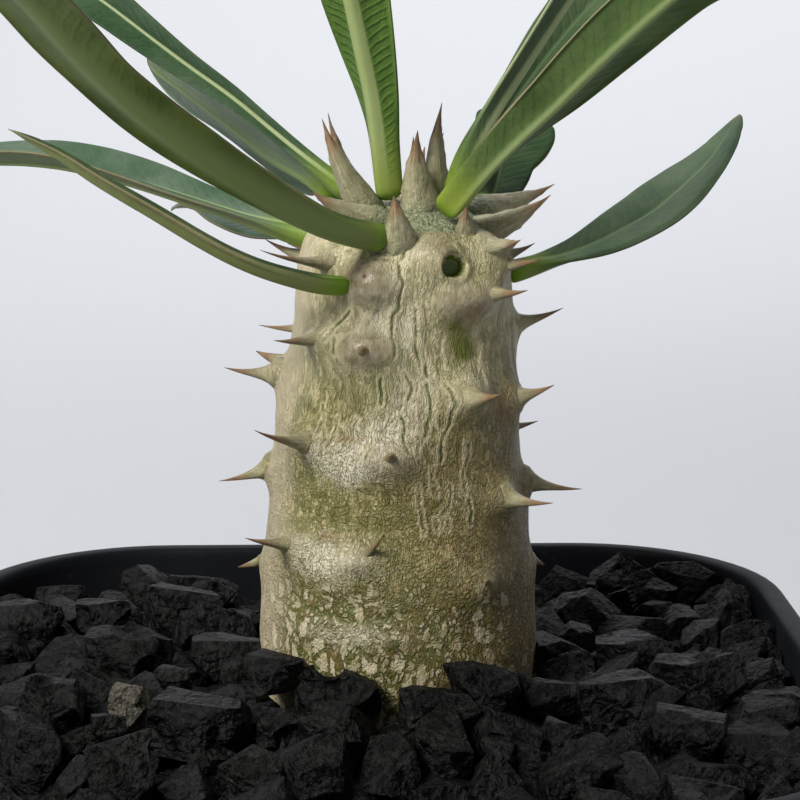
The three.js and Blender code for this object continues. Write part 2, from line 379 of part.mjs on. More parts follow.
// --------------------------------------------------------------------- leaves
// Section of a leaf at one station: a flat blade folded about a thick midrib.
function leafSolid(leaf, grow) {
  const n = leaf.st.length;
  const P = leaf.st.map((s) => new THREE.Vector3(s[0], s[1], s[2]));
  const rings = [];
  let start, end;
  for (let i = 0; i < n; i++) {
    const t = i / (n - 1);
    const T = P[Math.min(i + 1, n - 1)].clone().sub(P[Math.max(i - 1, 0)]).normalize();
    const N = new THREE.Vector3(...leaf.st[i].slice(3, 6));
    N.addScaledVector(T, -N.dot(T)).normalize();
    const B = new THREE.Vector3().crossVectors(T, N);
    const w = Math.max(leaf.st[i][6], i === n - 1 ? 0.25 : 0.8) + grow;
    const f = leaf.fold * (i === 0 || i === n - 1 ? 0.6 : 1);
    const stalk = Math.max(0, 1 - t / 0.16);
    const edge = (0.45 + 1.0 * stalk) * 0.5 * (i === n - 1 ? 0.5 : 1) + grow;
    const blade = (LEAF_BLADE + (LEAF_STALK - LEAF_BLADE) * stalk) * 0.5 * (i === n - 1 ? 0.5 : 1) + grow;
    const rib = LEAF_RIB * (1 - 0.72 * t) + (LEAF_STALK - LEAF_RIB) * stalk;
    const at = (b, h) => {
      const p = P[i].clone()
        .addScaledVector(B, b * w * Math.cos(f))
        .addScaledVector(N, Math.abs(b) * w * Math.sin(f) + h);
      return [p.x, p.y, p.z];
    };
    // counter-clockwise seen from the tip end
    rings.push([
      at(1, edge), at(0.3, blade), at(-0.3, blade), at(-1, edge),
      at(-1, -edge), at(-0.3, -blade - 0.1), at(0, -rib + blade - 2 * grow < -blade - 0.15 ? -(rib - blade + 2 * grow) : -blade - 0.15), at(0.3, -blade - 0.1), at(1, -edge),
    ].reverse());
    if (i === 0) start = P[0].clone().addScaledVector(T, -grow);
    if (i === n - 1) end = P[i].clone().addScaledVector(T, 0.3 + grow);
  }
  return solid(loft(rings, [start.x, start.y, start.z], [end.x, end.y, end.z]));
}

// ------------------------------------------------------------- crushed stones
// Takes away what lies further than reach from a centre, in direction n.
function cutBeyond(body, centre, n, reach) {
  const box = new THREE.BoxGeometry(60, 60, 60);
  box.translate(0, 0, 30 + reach);
  const q = new THREE.Quaternion().setFromUnitVectors(new THREE.Vector3(0, 0, 1), n);
  box.applyQuaternion(q);
  box.translate(centre.x, centre.y, centre.z);
  return body.subtract(solid(box));
}

function stone(i, grow) {
  const [, x, y, z, sx, sy, sz] = STONES[i];
  const rand = rng(977 + 31 * i);
  const box = new THREE.BoxGeometry(sx + 2 * grow, sy + 2 * grow, sz + 2 * grow);
  const turn = new THREE.Euler((rand() - 0.5) * 0.3, (rand() - 0.5) * 0.3, (rand() - 0.5) * 0.5);
  box.applyQuaternion(new THREE.Quaternion().setFromEuler(turn));
  box.translate(x, y, z);
  let body = solid(box);
  const centre = new THREE.Vector3(x, y, z);
  for (let k = 0; k < 9; k++) {
    const zz = 2 * ((k + 0.5) / 9) - 1;
    const a = k * 2.39996 + rand() * 1.2;
    const n = new THREE.Vector3(Math.cos(a), Math.sin(a), 0).multiplyScalar(Math.sqrt(1 - zz * zz)).setZ(zz).normalize();
    const reach = 0.5 * Math.hypot(n.x * sx, n.y * sy, n.z * sz) * (0.86 + 0.22 * rand());
    body = cutBeyond(body, centre, n, reach + grow);
  }
  const edge = GAP / 2 - grow;
  for (let j = 0; j < STONES.length; j++) {
    if (j === i) continue;
    const [, ox, oy, oz, tx, ty, tz] = STONES[j];
    const d = new THREE.Vector3(ox - x, oy - y, oz - z);
    const far = d.length();
    const ri = (sx + sy + sz) / 3, rj = (tx + ty + tz) / 3;
    if (far > ri + rj + 3) continue;
    d.normalize();
    body = cutBeyond(body, centre, d, far * ri / (ri + rj) - edge);
  }
  // clear of the stem
  const toStem = new THREE.Vector3(STEM_X - x, STEM_Y - y, 0);
  const far = toStem.length();
  toStem.normalize();
  if (far < 24) body = cutBeyond(body, centre, toStem, far - 13.6 - GAP + grow);
  return body;
}

function makeGravel(stem) {
  // a bumpy sheet of crushed stone: each cell of a scattered set is one
  // tilted facet
  const rand = rng(4242);
  const cells = [];
  const step = 5.6;
  for (let i = -9; i <= 9; i++) {
    for (let j = -9; j <= 9; j++) {
      cells.push([
        (i + 0.8 * (rand() - 0.5)) * step, (j + 0.8 * (rand() - 0.5)) * step,
        GRAVEL_Z - 1.0 + 1.1 * (rand() - 0.5), (rand() - 0.5) * 0.5, (rand() - 0.5) * 0.5,
      ]);
    }
  }
  const height = (x, y) => {
    let best = null, bd = 1e9;
    for (const c of cells) {
      const d = (c[0] - x) ** 2 + (c[1] - y) ** 2;
      if (d < bd) { bd = d; best = c; }
    }
    return best[2] + (x - best[0]) * best[3] + (y - best[1]) * best[4] - 0.05 * bd;
  };
  const half = 46, n = 27, d = 2 * half / n;
  const pos = [], idx = [];
  for (let j = 0; j <= n; j++) {
    for (let i = 0; i <= n; i++) {
      const x = -half + i * d, y = -half + j * d;
      pos.push(x, y, height(x, y));
    }
  }
  const at = (i, j) => j * (n + 1) + i;
  for (let j = 0; j < n; j++) {
    for (let i = 0; i < n; i++) {
      if ((i + j) % 2) idx.push(at(i, j), at(i + 1, j), at(i + 1, j + 1), at(i, j), at(i + 1, j + 1), at(i, j + 1));
      else idx.push(at(i, j), at(i + 1, j), at(i, j + 1), at(i + 1, j), at(i + 1, j + 1), at(i, j + 1));
    }
  }
  // sides and underside
  const ringIdx = [];
  for (let i = 0; i < n; i++) ringIdx.push(at(i, 0));
  for (let j = 0; j < n; j++) ringIdx.push(at(n, j));
  for (let i = n; i > 0; i--) ringIdx.push(at(i, n));
  for (let j = n; j > 0; j--) ringIdx.push(at(0, j));
  const centre = pos.length / 3;
  pos.push(0, 0, GRAVEL_BOTTOM - 4);
  const low = ringIdx.map((k) => {
    pos.push(pos[3 * k], pos[3 * k + 1], GRAVEL_BOTTOM - 4);
    return pos.length / 3 - 1;
  });
  for (let k = 0; k < ringIdx.length; k++) {
    const m = (k + 1) % ringIdx.length;
    idx.push(ringIdx[k], low[k], low[m], ringIdx[k], low[m], ringIdx[m]);
    idx.push(centre, low[m], low[k]);
  }
  let bed = solid(geometryOf(pos, idx)).intersect(fill(GRAVEL_BOTTOM, POT_H - 0.3));
  bed = bed.subtract(stem);
  for (let i = 0; i < STONES.length; i++) bed = bed.subtract(stone(i, GAP));
  return bed;
}

// ------------------------------------------------------------------- assembly
addMesh('pot', makePot(), '#0b0c0e', 0.32);

const stemClear = makeStem(GAP);
const soil = fill(FLOOR + GAP, SOIL_TOP).subtract(stemBody(GAP));
addMesh('soil', geometryFrom(soil), '#241a12', 0.95);
addMesh('gravel_layer', geometryFrom(makeGravel(stemBody(GAP))), '#191918', 0.85);
for (let i = 0; i < STONES.length; i++) {
  addMesh('stone_' + String(i + 1).padStart(2, '0'), geometryFrom(stone(i, 0)), '#222221', 0.8);
}
addMesh('stem', geometryFrom(makeStem(0)), '#8a8360', 0.6);

let others = stemClear;
for (const leaf of LEAVES) {
  const piece = leafSolid(leaf, 0).subtract(others);
  addMesh('leaf_' + leaf.key, geometryFrom(piece), '#4c6a34', 0.45);
  others = others.add(leafSolid(leaf, GAP));
}

export default object;
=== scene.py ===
# Potted pachypodium horombense: the looks.
# A spiny bottle-shaped stem with twelve leathery leaves, in a square black
# nursery pot topped with crushed black stone. Lengths in the tables are in
# millimetres, in the part's own frame.
import bpy, bmesh, math
import numpy as np
from mathutils import Vector, Matrix


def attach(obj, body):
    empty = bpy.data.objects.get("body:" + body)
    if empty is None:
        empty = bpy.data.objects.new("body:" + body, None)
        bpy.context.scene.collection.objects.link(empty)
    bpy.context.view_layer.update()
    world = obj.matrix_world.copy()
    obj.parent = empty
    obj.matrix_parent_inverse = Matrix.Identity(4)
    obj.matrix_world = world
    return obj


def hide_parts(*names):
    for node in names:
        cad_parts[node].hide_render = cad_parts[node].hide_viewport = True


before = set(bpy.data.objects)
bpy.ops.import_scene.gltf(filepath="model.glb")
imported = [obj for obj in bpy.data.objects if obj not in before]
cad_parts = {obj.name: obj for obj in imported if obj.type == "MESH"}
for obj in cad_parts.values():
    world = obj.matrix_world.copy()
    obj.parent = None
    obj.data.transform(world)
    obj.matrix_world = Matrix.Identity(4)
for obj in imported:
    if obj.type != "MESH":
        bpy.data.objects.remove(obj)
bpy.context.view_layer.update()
MM = 0.001

POT_TOP, POT_H, POT_BASE = 90.0, 80.0, 68.0
RIM_R, BASE_R, RIM_BAND, RIM_STEP, WALL, FLOOR = 21.8, 14.0, 9.0, 1.4, 1.2, 2.0
DRAIN_R, DRAIN_AT = 4.0, 19.0
GRAVEL_Z = 78.0
STEM_X, STEM_Y = 2.5, -0.06
# height above the gravel line, radius
STEM_PROFILE = np.array([
    [-22, 6.0], [-17, 8.2], [-10, 11.0], [-5, 12.4], [-2, 12.9], [1, 13.3], [4.4, 13.6], [8.5, 13.25],
    [12, 13.1], [15.5, 12.7], [20, 12.2], [24.5, 11.9], [27.5, 11.75], [31.5, 10.95], [34.4, 10.6],
    [38.2, 10.3], [41, 10.1], [43.3, 9.5], [45.0, 8.1], [46.1, 5.6], [46.7, 2.8], [46.9, 0.0]])
STEM_DRIFT = np.array([[-30, 0], [0, 0], [24, -0.3], [34, 0.24], [38, 0.43], [41, 0.48], [48, 0.48]])

# One leaf per entry: each station is a point of the midrib, the direction the
# upper face looks, and half the blade's width.
LEAVES = [
    dict(key="a", fold=0, st=[(0.85, -9.02, 122.17, -0.35, 0.624, 0.698, 1.46), (-3.6, -12.6, 123.58, -0.234, 0.676, 0.699, 1.44), (-7.66, -16.14, 125.93, -0.166, 0.688, 0.706, 1.7), (-11.53, -19.7, 128.6, -0.114, 0.687, 0.718, 2.13), (-15.27, -23.27, 131.43, -0.078, 0.668, 0.74, 2.54), (-18.85, -26.85, 134.41, 0.044, 0.639, 0.768, 2.92), (-22.21, -30.38, 137.73, 0.179, 0.603, 0.778, 3.19), (-24.53, -33.02, 140.41, 0.278, 0.57, 0.773, 3.78), (-27.41, -36.6, 144.09, 0.369, 0.476, 0.798, 4.45), (-30.73, -40.18, 147.38, 0.31, 0.419, 0.853, 4.81), (-34.46, -43.76, 150.2, 0.165, 0.455, 0.875, 4.69), (-38.53, -47.3, 152.55, 0.023, 0.493, 0.87, 3.68), (-42.89, -50.79, 154.43, -0.098, 0.543, 0.834, 0.29)]),
    dict(key="b", fold=0.8, st=[(-2.04, -9.53, 117.92, 0.079, -0.108, 0.991, 0.92), (-4.83, -10.42, 118.15, 0.175, -0.099, 0.98, 1.01), (-7.66, -10.95, 118.78, 0.282, -0.1, 0.954, 1.01), (-10.43, -11.33, 119.69, 0.365, -0.108, 0.925, 0.99), (-13.11, -11.58, 120.87, 0.448, -0.117, 0.886, 0.97), (-15.68, -11.81, 122.28, 0.514, -0.117, 0.849, 0.99), (-18.19, -12.03, 123.81, 0.528, -0.116, 0.841, 1.01), (-20.06, -12.2, 124.96, 0.522, -0.119, 0.845, 1.01), (-22.59, -12.39, 126.45, 0.508, -0.129, 0.852, 0.97), (-25.09, -12.53, 127.99, 0.552, -0.141, 0.822, 0.88), (-27.52, -12.6, 129.65, 0.539, -0.167, 0.826, 0.75), (-30.06, -12.49, 131.14, 0.447, -0.192, 0.874, 0.53), (-32.69, -12.2, 132.42, 0.385, -0.204, 0.9, 0.11)]),
    dict(key="c", fold=0.53, st=[(-2.25, 0.54, 125.21, 0.187, -0.881, 0.434, 1.03), (-6.06, 1.13, 128.3, 0.122, -0.948, 0.293, 0.96), (-9.79, 1.6, 131.5, 0.018, -0.985, 0.174, 1.05), (-13.56, 2.11, 134.64, -0.085, -0.995, 0.048, 1.33), (-17.56, 2.56, 137.5, -0.173, -0.981, -0.088, 1.73), (-21.52, 3.05, 140.41, -0.131, -0.991, 0.003, 2.18), (-25.45, 3.58, 143.34, -0.052, -0.993, 0.109, 2.61), (-28.51, 3.96, 145.39, 0.002, -0.981, 0.191, 3.16), (-32.75, 4.47, 147.88, 0.058, -0.95, 0.308, 3.83), (-37.12, 4.97, 150.11, 0.069, -0.927, 0.369, 4.23), (-41.61, 5.48, 152.08, 0.049, -0.925, 0.378, 4.2), (-46.22, 5.99, 153.78, 0.029, -0.922, 0.385, 3.35), (-50.91, 6.5, 155.22, 0.014, -0.921, 0.39, 0.27)]),
    dict(key="d", fold=0.018, st=[(-3.42, 4.08, 125.27, 0.778, 0.336, 0.53, 1.01), (-4.84, 6.91, 125.86, 0.762, 0.342, 0.55, 1.67), (-6.34, 9.71, 126.44, 0.742, 0.352, 0.57, 2.52), (-7.94, 12.47, 127, 0.726, 0.355, 0.589, 3.91), (-9.68, 15.12, 127.74, 0.735, 0.319, 0.598, 4.66), (-11.52, 17.6, 128.85, 0.756, 0.277, 0.593, 5.39), (-13.42, 19.96, 130.15, 0.756, 0.263, 0.599, 5.81), (-14.89, 21.73, 131.06, 0.748, 0.264, 0.609, 5.91), (-16.8, 24.08, 132.23, 0.742, 0.258, 0.618, 5.87), (-18.65, 26.42, 133.37, 0.754, 0.274, 0.597, 5.34), (-20.49, 28.78, 134.47, 0.777, 0.31, 0.548, 4.75), (-22.29, 31.18, 135.5, 0.798, 0.343, 0.496, 3.42), (-24.08, 33.6, 136.52, 0.815, 0.375, 0.442, 0.25)]),
    dict(key="e", fold=0.42, st=[(-5.17, 2.11, 120.84, 0.022, -0.378, 0.925, 0.95), (-8.49, 3.44, 121.65, 0.125, -0.401, 0.907, 1.09), (-11.85, 4.5, 122.69, 0.162, -0.396, 0.904, 1.51), (-15.24, 5.48, 123.7, 0.154, -0.377, 0.913, 2.06), (-18.6, 6.57, 124.69, 0.147, -0.358, 0.922, 2.59), (-21.95, 7.72, 125.65, 0.16, -0.31, 0.937, 3.17), (-25.36, 8.74, 126.55, 0.161, -0.255, 0.954, 3.51), (-27.97, 9.42, 127.12, 0.138, -0.207, 0.969, 3.68), (-31.49, 10.28, 127.67, 0.075, -0.136, 0.988, 3.77), (-35.08, 11.05, 127.88, -0.008, -0.09, 0.996, 3.53), (-38.68, 11.74, 127.79, -0.072, -0.075, 0.995, 3.2), (-42.26, 12.43, 127.4, -0.172, -0.052, 0.984, 2.33), (-45.79, 13.1, 126.63, -0.25, -0.034, 0.968, 0.17)]),
    dict(key="f", fold=0.089, st=[(-5.01, 6.12, 120.76, -0.623, -0.264, 0.736, 0.97), (-6.2, 8.79, 120.73, -0.591, -0.256, 0.765, 1.08), (-7.39, 11.45, 120.71, -0.557, -0.251, 0.791, 1.46), (-8.59, 14.11, 120.73, -0.523, -0.244, 0.817, 2.03), (-9.81, 16.77, 120.76, -0.487, -0.237, 0.841, 2.66), (-11.05, 19.41, 120.8, -0.362, -0.19, 0.912, 3.39), (-12.31, 22.04, 120.87, -0.217, -0.133, 0.967, 4.04), (-13.28, 24, 120.93, -0.105, -0.086, 0.991, 4.48), (-14.63, 26.59, 121.02, 0.045, -0.017, 0.999, 4.87), (-16.06, 29.13, 121.14, 0.049, -0.021, 0.999, 4.87), (-17.56, 31.63, 121.25, -0.081, -0.084, 0.993, 4.41), (-19.13, 34.09, 121.31, -0.207, -0.152, 0.966, 3.22), (-20.75, 36.52, 121.33, -0.323, -0.226, 0.919, 0.24)]),
    dict(key="g", fold=0.34, st=[(1.42, -3.03, 125.16, 0.66, 0.698, 0.276, 1.41), (0.79, -4.16, 129.87, 0.579, 0.776, 0.252, 1.65), (-0.01, -5.2, 134.56, 0.481, 0.829, 0.285, 2.33), (-1.03, -6.27, 139.21, 0.38, 0.877, 0.294, 3.08), (-2.06, -7.43, 143.84, 0.272, 0.911, 0.309, 3.64), (-3.11, -8.8, 148.41, 0.25, 0.901, 0.355, 4.11), (-4.16, -10.41, 152.89, 0.239, 0.885, 0.399, 4.39), (-4.96, -11.76, 156.2, 0.232, 0.872, 0.432, 5), (-6.02, -13.75, 160.52, 0.221, 0.852, 0.474, 5.62), (-7.09, -15.96, 164.74, 0.211, 0.831, 0.515, 5.81), (-8.16, -18.37, 168.85, 0.201, 0.807, 0.555, 5.43), (-9.22, -20.98, 172.83, 0.191, 0.783, 0.593, 4.1), (-10.28, -23.78, 176.69, 0.183, 0.763, 0.62, 0.32)]),
    dict(key="h", fold=0.411, st=[(6.64, -6.18, 124.12, -0.271, 0.69, 0.671, 1.75), (9.51, -9.07, 128.02, -0.159, 0.705, 0.691, 1.83), (12.63, -12.22, 131.51, -0.015, 0.679, 0.734, 2.33), (15.61, -15.84, 134.64, 0.091, 0.683, 0.724, 2.89), (18.36, -19.6, 137.85, 0.173, 0.709, 0.684, 3.25), (21.21, -23.31, 141.01, 0.238, 0.736, 0.634, 3.43), (24.22, -26.96, 144.08, 0.314, 0.739, 0.596, 3.42), (26.54, -29.77, 146.24, 0.376, 0.73, 0.57, 4.14), (29.74, -33.59, 148.88, 0.45, 0.723, 0.524, 5.01), (33.1, -37.47, 151.24, 0.488, 0.713, 0.503, 5.54), (36.6, -41.4, 153.3, 0.5, 0.699, 0.51, 5.5), (40.22, -45.35, 155.06, 0.513, 0.686, 0.516, 4.38), (43.94, -49.33, 156.54, 0.523, 0.675, 0.52, 0.36)]),
    dict(key="i", fold=0.04, st=[(7.24, -2.19, 125.03, -0.868, 0.437, 0.237, 1.04), (8.62, -2.7, 129.51, -0.817, 0.401, 0.416, 1.1), (10.89, -3.31, 133.62, -0.763, 0.368, 0.532, 1.42), (13.4, -4.02, 137.56, -0.755, 0.347, 0.557, 1.94), (15.9, -4.9, 141.47, -0.758, 0.329, 0.563, 2.57), (18.46, -5.82, 145.34, -0.74, 0.325, 0.589, 3.3), (21.17, -6.73, 149.11, -0.718, 0.322, 0.618, 3.98), (23.3, -7.43, 151.86, -0.7, 0.319, 0.639, 4.46), (26.25, -8.38, 155.43, -0.675, 0.316, 0.667, 4.92), (29.33, -9.35, 158.88, -0.649, 0.31, 0.695, 4.99), (32.55, -10.35, 162.2, -0.623, 0.302, 0.722, 4.58), (35.9, -11.37, 165.38, -0.595, 0.293, 0.749, 3.4), (39.36, -12.4, 168.43, -0.573, 0.287, 0.768, 0.26)]),
    dict(key="j", fold=0.35, st=[(10.3, 2.75, 123.92, 0.443, -0.151, 0.884, 1.11), (11, 5.14, 124, 0.457, -0.178, 0.872, 1.33), (11.6, 7.56, 124.22, 0.47, -0.215, 0.856, 1.93), (12.07, 9.97, 124.67, 0.478, -0.283, 0.831, 2.55), (12.49, 12.35, 125.31, 0.492, -0.326, 0.808, 2.97), (12.89, 14.7, 126.05, 0.453, -0.341, 0.824, 3.31), (13.32, 17.05, 126.78, 0.41, -0.334, 0.849, 3.47), (13.68, 18.82, 127.3, 0.375, -0.337, 0.864, 4.02), (14.19, 21.16, 128.02, 0.327, -0.343, 0.881, 4.6), (14.71, 23.5, 128.72, 0.273, -0.324, 0.906, 4.84), (15.2, 25.86, 129.38, 0.21, -0.294, 0.932, 4.61), (15.68, 28.23, 130, 0.145, -0.269, 0.952, 3.54), (16.14, 30.62, 130.59, 0.078, -0.248, 0.966, 0.28)]),
    dict(key="k", fold=0.088, st=[(12.92, 0.68, 117.85, 0.14, -0.3, 0.944, 0.98), (15.23, 2.63, 118.2, 0.107, -0.344, 0.933, 1.03), (17.62, 4.45, 118.66, 0.098, -0.367, 0.925, 1.31), (20.01, 6.26, 119.14, 0.078, -0.397, 0.915, 1.82), (22.43, 7.94, 119.87, -0.006, -0.47, 0.883, 2.48), (24.83, 9.56, 120.8, -0.076, -0.409, 0.909, 3.27), (27.17, 11.24, 121.77, -0.165, -0.342, 0.925, 4.02), (28.84, 12.53, 122.63, -0.276, -0.325, 0.905, 4.48), (30.91, 14.24, 124.05, -0.412, -0.295, 0.862, 4.88), (32.99, 15.78, 125.65, -0.505, -0.217, 0.835, 4.9), (35, 17.23, 127.41, -0.641, -0.165, 0.749, 4.45), (36.69, 18.72, 129.45, -0.763, -0.115, 0.637, 3.27), (38.2, 20.06, 131.72, -0.842, -0.037, 0.539, 0.25)]),
    dict(key="l", fold=0.281, st=[(8.66, 4.78, 125.37, 0.057, -0.764, 0.643, 1.6), (10.43, 7.21, 128.15, 0.063, -0.781, 0.621, 1.58), (12.31, 9.5, 130.96, 0.063, -0.804, 0.591, 1.87), (14.32, 11.72, 133.74, 0.089, -0.796, 0.599, 2.36), (16.46, 14.03, 136.35, 0.12, -0.783, 0.611, 2.87), (18.68, 16.35, 138.89, 0.123, -0.788, 0.603, 3.37), (21.04, 18.57, 141.38, 0.119, -0.798, 0.591, 3.74), (22.89, 20.22, 143.18, 0.139, -0.784, 0.604, 4.28), (25.39, 22.57, 145.41, 0.188, -0.744, 0.641, 4.85), (27.97, 25.08, 147.34, 0.236, -0.701, 0.673, 5.05), (30.65, 27.72, 148.95, 0.282, -0.656, 0.7, 4.76), (33.39, 30.47, 150.21, 0.33, -0.608, 0.722, 3.62), (36.19, 33.3, 151.14, 0.365, -0.573, 0.734, 0.28)]),
]
# Each thorn: foot, tip, and the radius of its foot.
SPINES = [
    (-4.93, -7.29, 112.83, -9.26, -11.34, 113.16, 1.25),
    (-0.87, -10.06, 112.13, -1.03, -12.5, 112.62, 1.9),
    (-9.22, 0.1, 108.12, -14.43, 0.18, 108.71, 1.3),
    (-8, 3.4, 108.69, -11.55, 4.57, 109.6, 1.2),
    (-5.91, -8.66, 103.15, -11.01, -14.03, 105.35, 1.2),
    (1.38, -11.93, 102.37, 1.33, -13.93, 103.03, 1.7),
    (-9.94, -0.32, 98.89, -15.04, -0.44, 97.65, 1.2),
    (-7.49, -8.14, 93.44, -12.11, -11.95, 94.81, 1.25),
    (-11.01, -0.47, 89.73, -13.16, -0.54, 89.05, 1),
    (-1.5, -11.5, 92.7, 0.7, -14.75, 95.75, 1.05),
    (10.1, -10.58, 90.19, 10.18, -11.62, 90.56, 1.1),
    (1.25, -13.32, 85.73, 1.24, -13.77, 85.96, 0.7),
    (-10.27, 4.41, 81.2, -11.24, 3.48, 81.58, 0.8),
    (15.4, 1.46, 89.26, 16.66, 1.61, 88.5, 1.1),
    (11.94, -7.56, 97.54, 16.43, -11.04, 97.75, 1.35),
    (14.55, -0.71, 97.55, 20.19, -1.01, 96.79, 1.25),
    (8.46, -9.72, 107.45, 11.45, -14.56, 108.74, 1.6),
    (13.01, -4.65, 106.68, 16.83, -6.31, 108.02, 1.4),
    (7.05, -9.47, 116.75, 6.9, -10.61, 117.09, 1.6),
    (9.82, -7.65, 117.05, 13.79, -12.04, 117.79, 1.5),
    (13.22, 1.57, 112.75, 18.43, 2.4, 114.08, 1.3),
    (11.12, -5.89, 119.43, 15.25, -8.84, 120.25, 1.4),
    (12.17, 4.11, 118.98, 15.92, 5.82, 120.05, 1.2),
    (10.14, -6.59, 121.11, 13.31, -9.47, 122.08, 1.3),
    (-4, -7.14, 119.82, -10.42, -11.94, 121.52, 0.95),
    (-5.99, 4.62, 118.78, -10.64, 7.05, 120.38, 1.3),
    (-0.21, -9.72, 118.19, -0.94, -10.93, 119.12, 1.7),
    (5.06, -9.58, 120.83, 5, -10.54, 121.08, 1.5),
    (9.89, -2.74, 121.99, 16.4, -5.4, 125.83, 1.9),
    (10.37, 2.25, 123.67, 17.63, 4.07, 126, 1.7),
    (8.48, -6.21, 121.72, 8.35, -8.41, 125.15, 1),
    (4.38, -3.71, 124.27, 4.02, -5.1, 131.77, 1.7),
    (6.19, -0.65, 124.92, 6.45, -0.66, 134.11, 1.7),
    (4.07, 1.4, 124.73, 3.82, 1.91, 130.71, 1),
    (-0.96, -3.18, 124.61, -4.82, -5.38, 132.87, 1.7),
    (-1.12, -0.47, 124.44, -4.31, 0.61, 133.08, 1.3),
    (-0.52, -6.19, 123.7, -5.99, -8.86, 126.64, 1.6),
    (2.19, -9.06, 121.42, 1.63, -11.54, 126.52, 1.5),
    (12.13, 8.9, 86.9, 14.76, 10.46, 87.19, 1.32),
    (6.75, 12.38, 88.1, 7.44, 16.29, 88.56, 1.12),
    (-0.97, 12.98, 83.9, -1.25, 15.87, 84.41, 1.34),
    (-6.64, 9.78, 85.1, -8.96, 11.93, 85.24, 1.37),
    (7.38, 11.66, 92.9, 9.31, 14.75, 93.86, 1.11),
    (1.28, 12.54, 94.1, -0.05, 16.61, 94.21, 1.26),
    (-2.95, 11.4, 94.4, -4.48, 15.76, 94.97, 1.33),
    (-7.62, 7.52, 95.6, -11.59, 9.69, 95.68, 1.25),
    (12.29, 6.4, 101.4, 16.65, 8.32, 101.74, 1.35),
    (8.07, 10.31, 102.6, 10.1, 15.26, 103.35, 1.18),
    (2.91, 11.87, 101.9, 3.83, 16.63, 102.72, 1.21),
    (-2.68, 10.74, 103.1, -5.63, 14.82, 103.54, 1.37),
    (10.22, 8.05, 108.4, 14.44, 11.03, 108.86, 1.23),
    (5.51, 10.48, 109.6, 6.15, 16.39, 110.12, 1.1),
    (-1.51, 9.94, 110.4, -2.55, 15.04, 111.04, 1.31),
    (-5.55, 6.72, 111.6, -11.4, 9.91, 111.38, 1.19),
    (5.98, 9.89, 114.4, 8.47, 15.55, 116.1, 1.38),
    (1.01, 10.1, 115.6, -1.24, 16.49, 117.17, 1.14),
    (0.4, 9.78, 117.9, -0.25, 15.92, 119.12, 1.25),
    (-3.84, 7.35, 119.1, -8.52, 11.27, 119.45, 1.19),
    (11.38, 5.75, 116.9, 16.69, 8.39, 117.48, 1.33),
    (7.64, 8.95, 118.1, 9.86, 15.7, 118.83, 1.33),
    (-0.87, 5.52, 123, -4.23, 11.11, 129.5, 1.6),
    (3.66, 6.41, 123, 5.32, 12.87, 129, 1.6),
    (8.13, 5.3, 122.2, 10.78, 11.24, 127.5, 1.5),
    (5.34, 1.67, 124.2, 6.78, 3.34, 131, 1.5),
]
# Each larger stone: key, centre and size.
STONES = [
    ("a", -24.57, 2.87, 79, 7.7, 6.54, 5.82),
    ("b", -23.06, -12.82, 79, 3.91, 3.32, 4.33),
    ("c", -16, -17.89, 79, 9.92, 6.94, 4.96),
    ("d", -19.52, -6.07, 79, 3.56, 3.02, 3.46),
    ("e", -14.61, 3.14, 79, 7.71, 6.56, 3.86),
    ("f", -9.56, -9.23, 81.26, 5.68, 4.83, 3.51),
    ("h", -3.54, -14.5, 80.36, 8.05, 5.63, 4.02),
    ("i", -8.24, -19.2, 79, 5.16, 4.38, 3.35),
    ("j", -4.42, -22.72, 79, 5.25, 4.46, 3.72),
    ("k", -30.22, -12.35, 79, 6.06, 5.15, 5.1),
    ("l", -24.25, -19.36, 79, 3.07, 2.61, 2.81),
    ("n", -28.63, 18.37, 79, 5.76, 4.9, 3.02),
    ("o", -20.29, 17.78, 79, 8.09, 5.67, 5.96),
    ("p", 17.43, 2.87, 79, 4.82, 4.1, 3.22),
    ("q", 26.22, 2.65, 79, 7.73, 6.57, 3.87),
    ("r", 31.19, -5.88, 79, 9.29, 6.5, 4.65),
    ("s", 23.95, -12.94, 79, 10.2, 7.14, 5.1),
    ("t", 9.83, -13.81, 80.95, 7.52, 6.4, 3.93),
    ("u", 5.89, -15.86, 79, 7.55, 6.42, 4.52),
    ("v", 16.14, -11.09, 79, 5.56, 4.73, 3.29),
    ("w", 27.51, -21.18, 79, 7.65, 6.5, 3.83),
    ("x", 35.81, -16.88, 79, 6.16, 5.24, 3.08),
    ("aa", 16.07, -23.49, 79, 4.62, 3.93, 3.66),
]
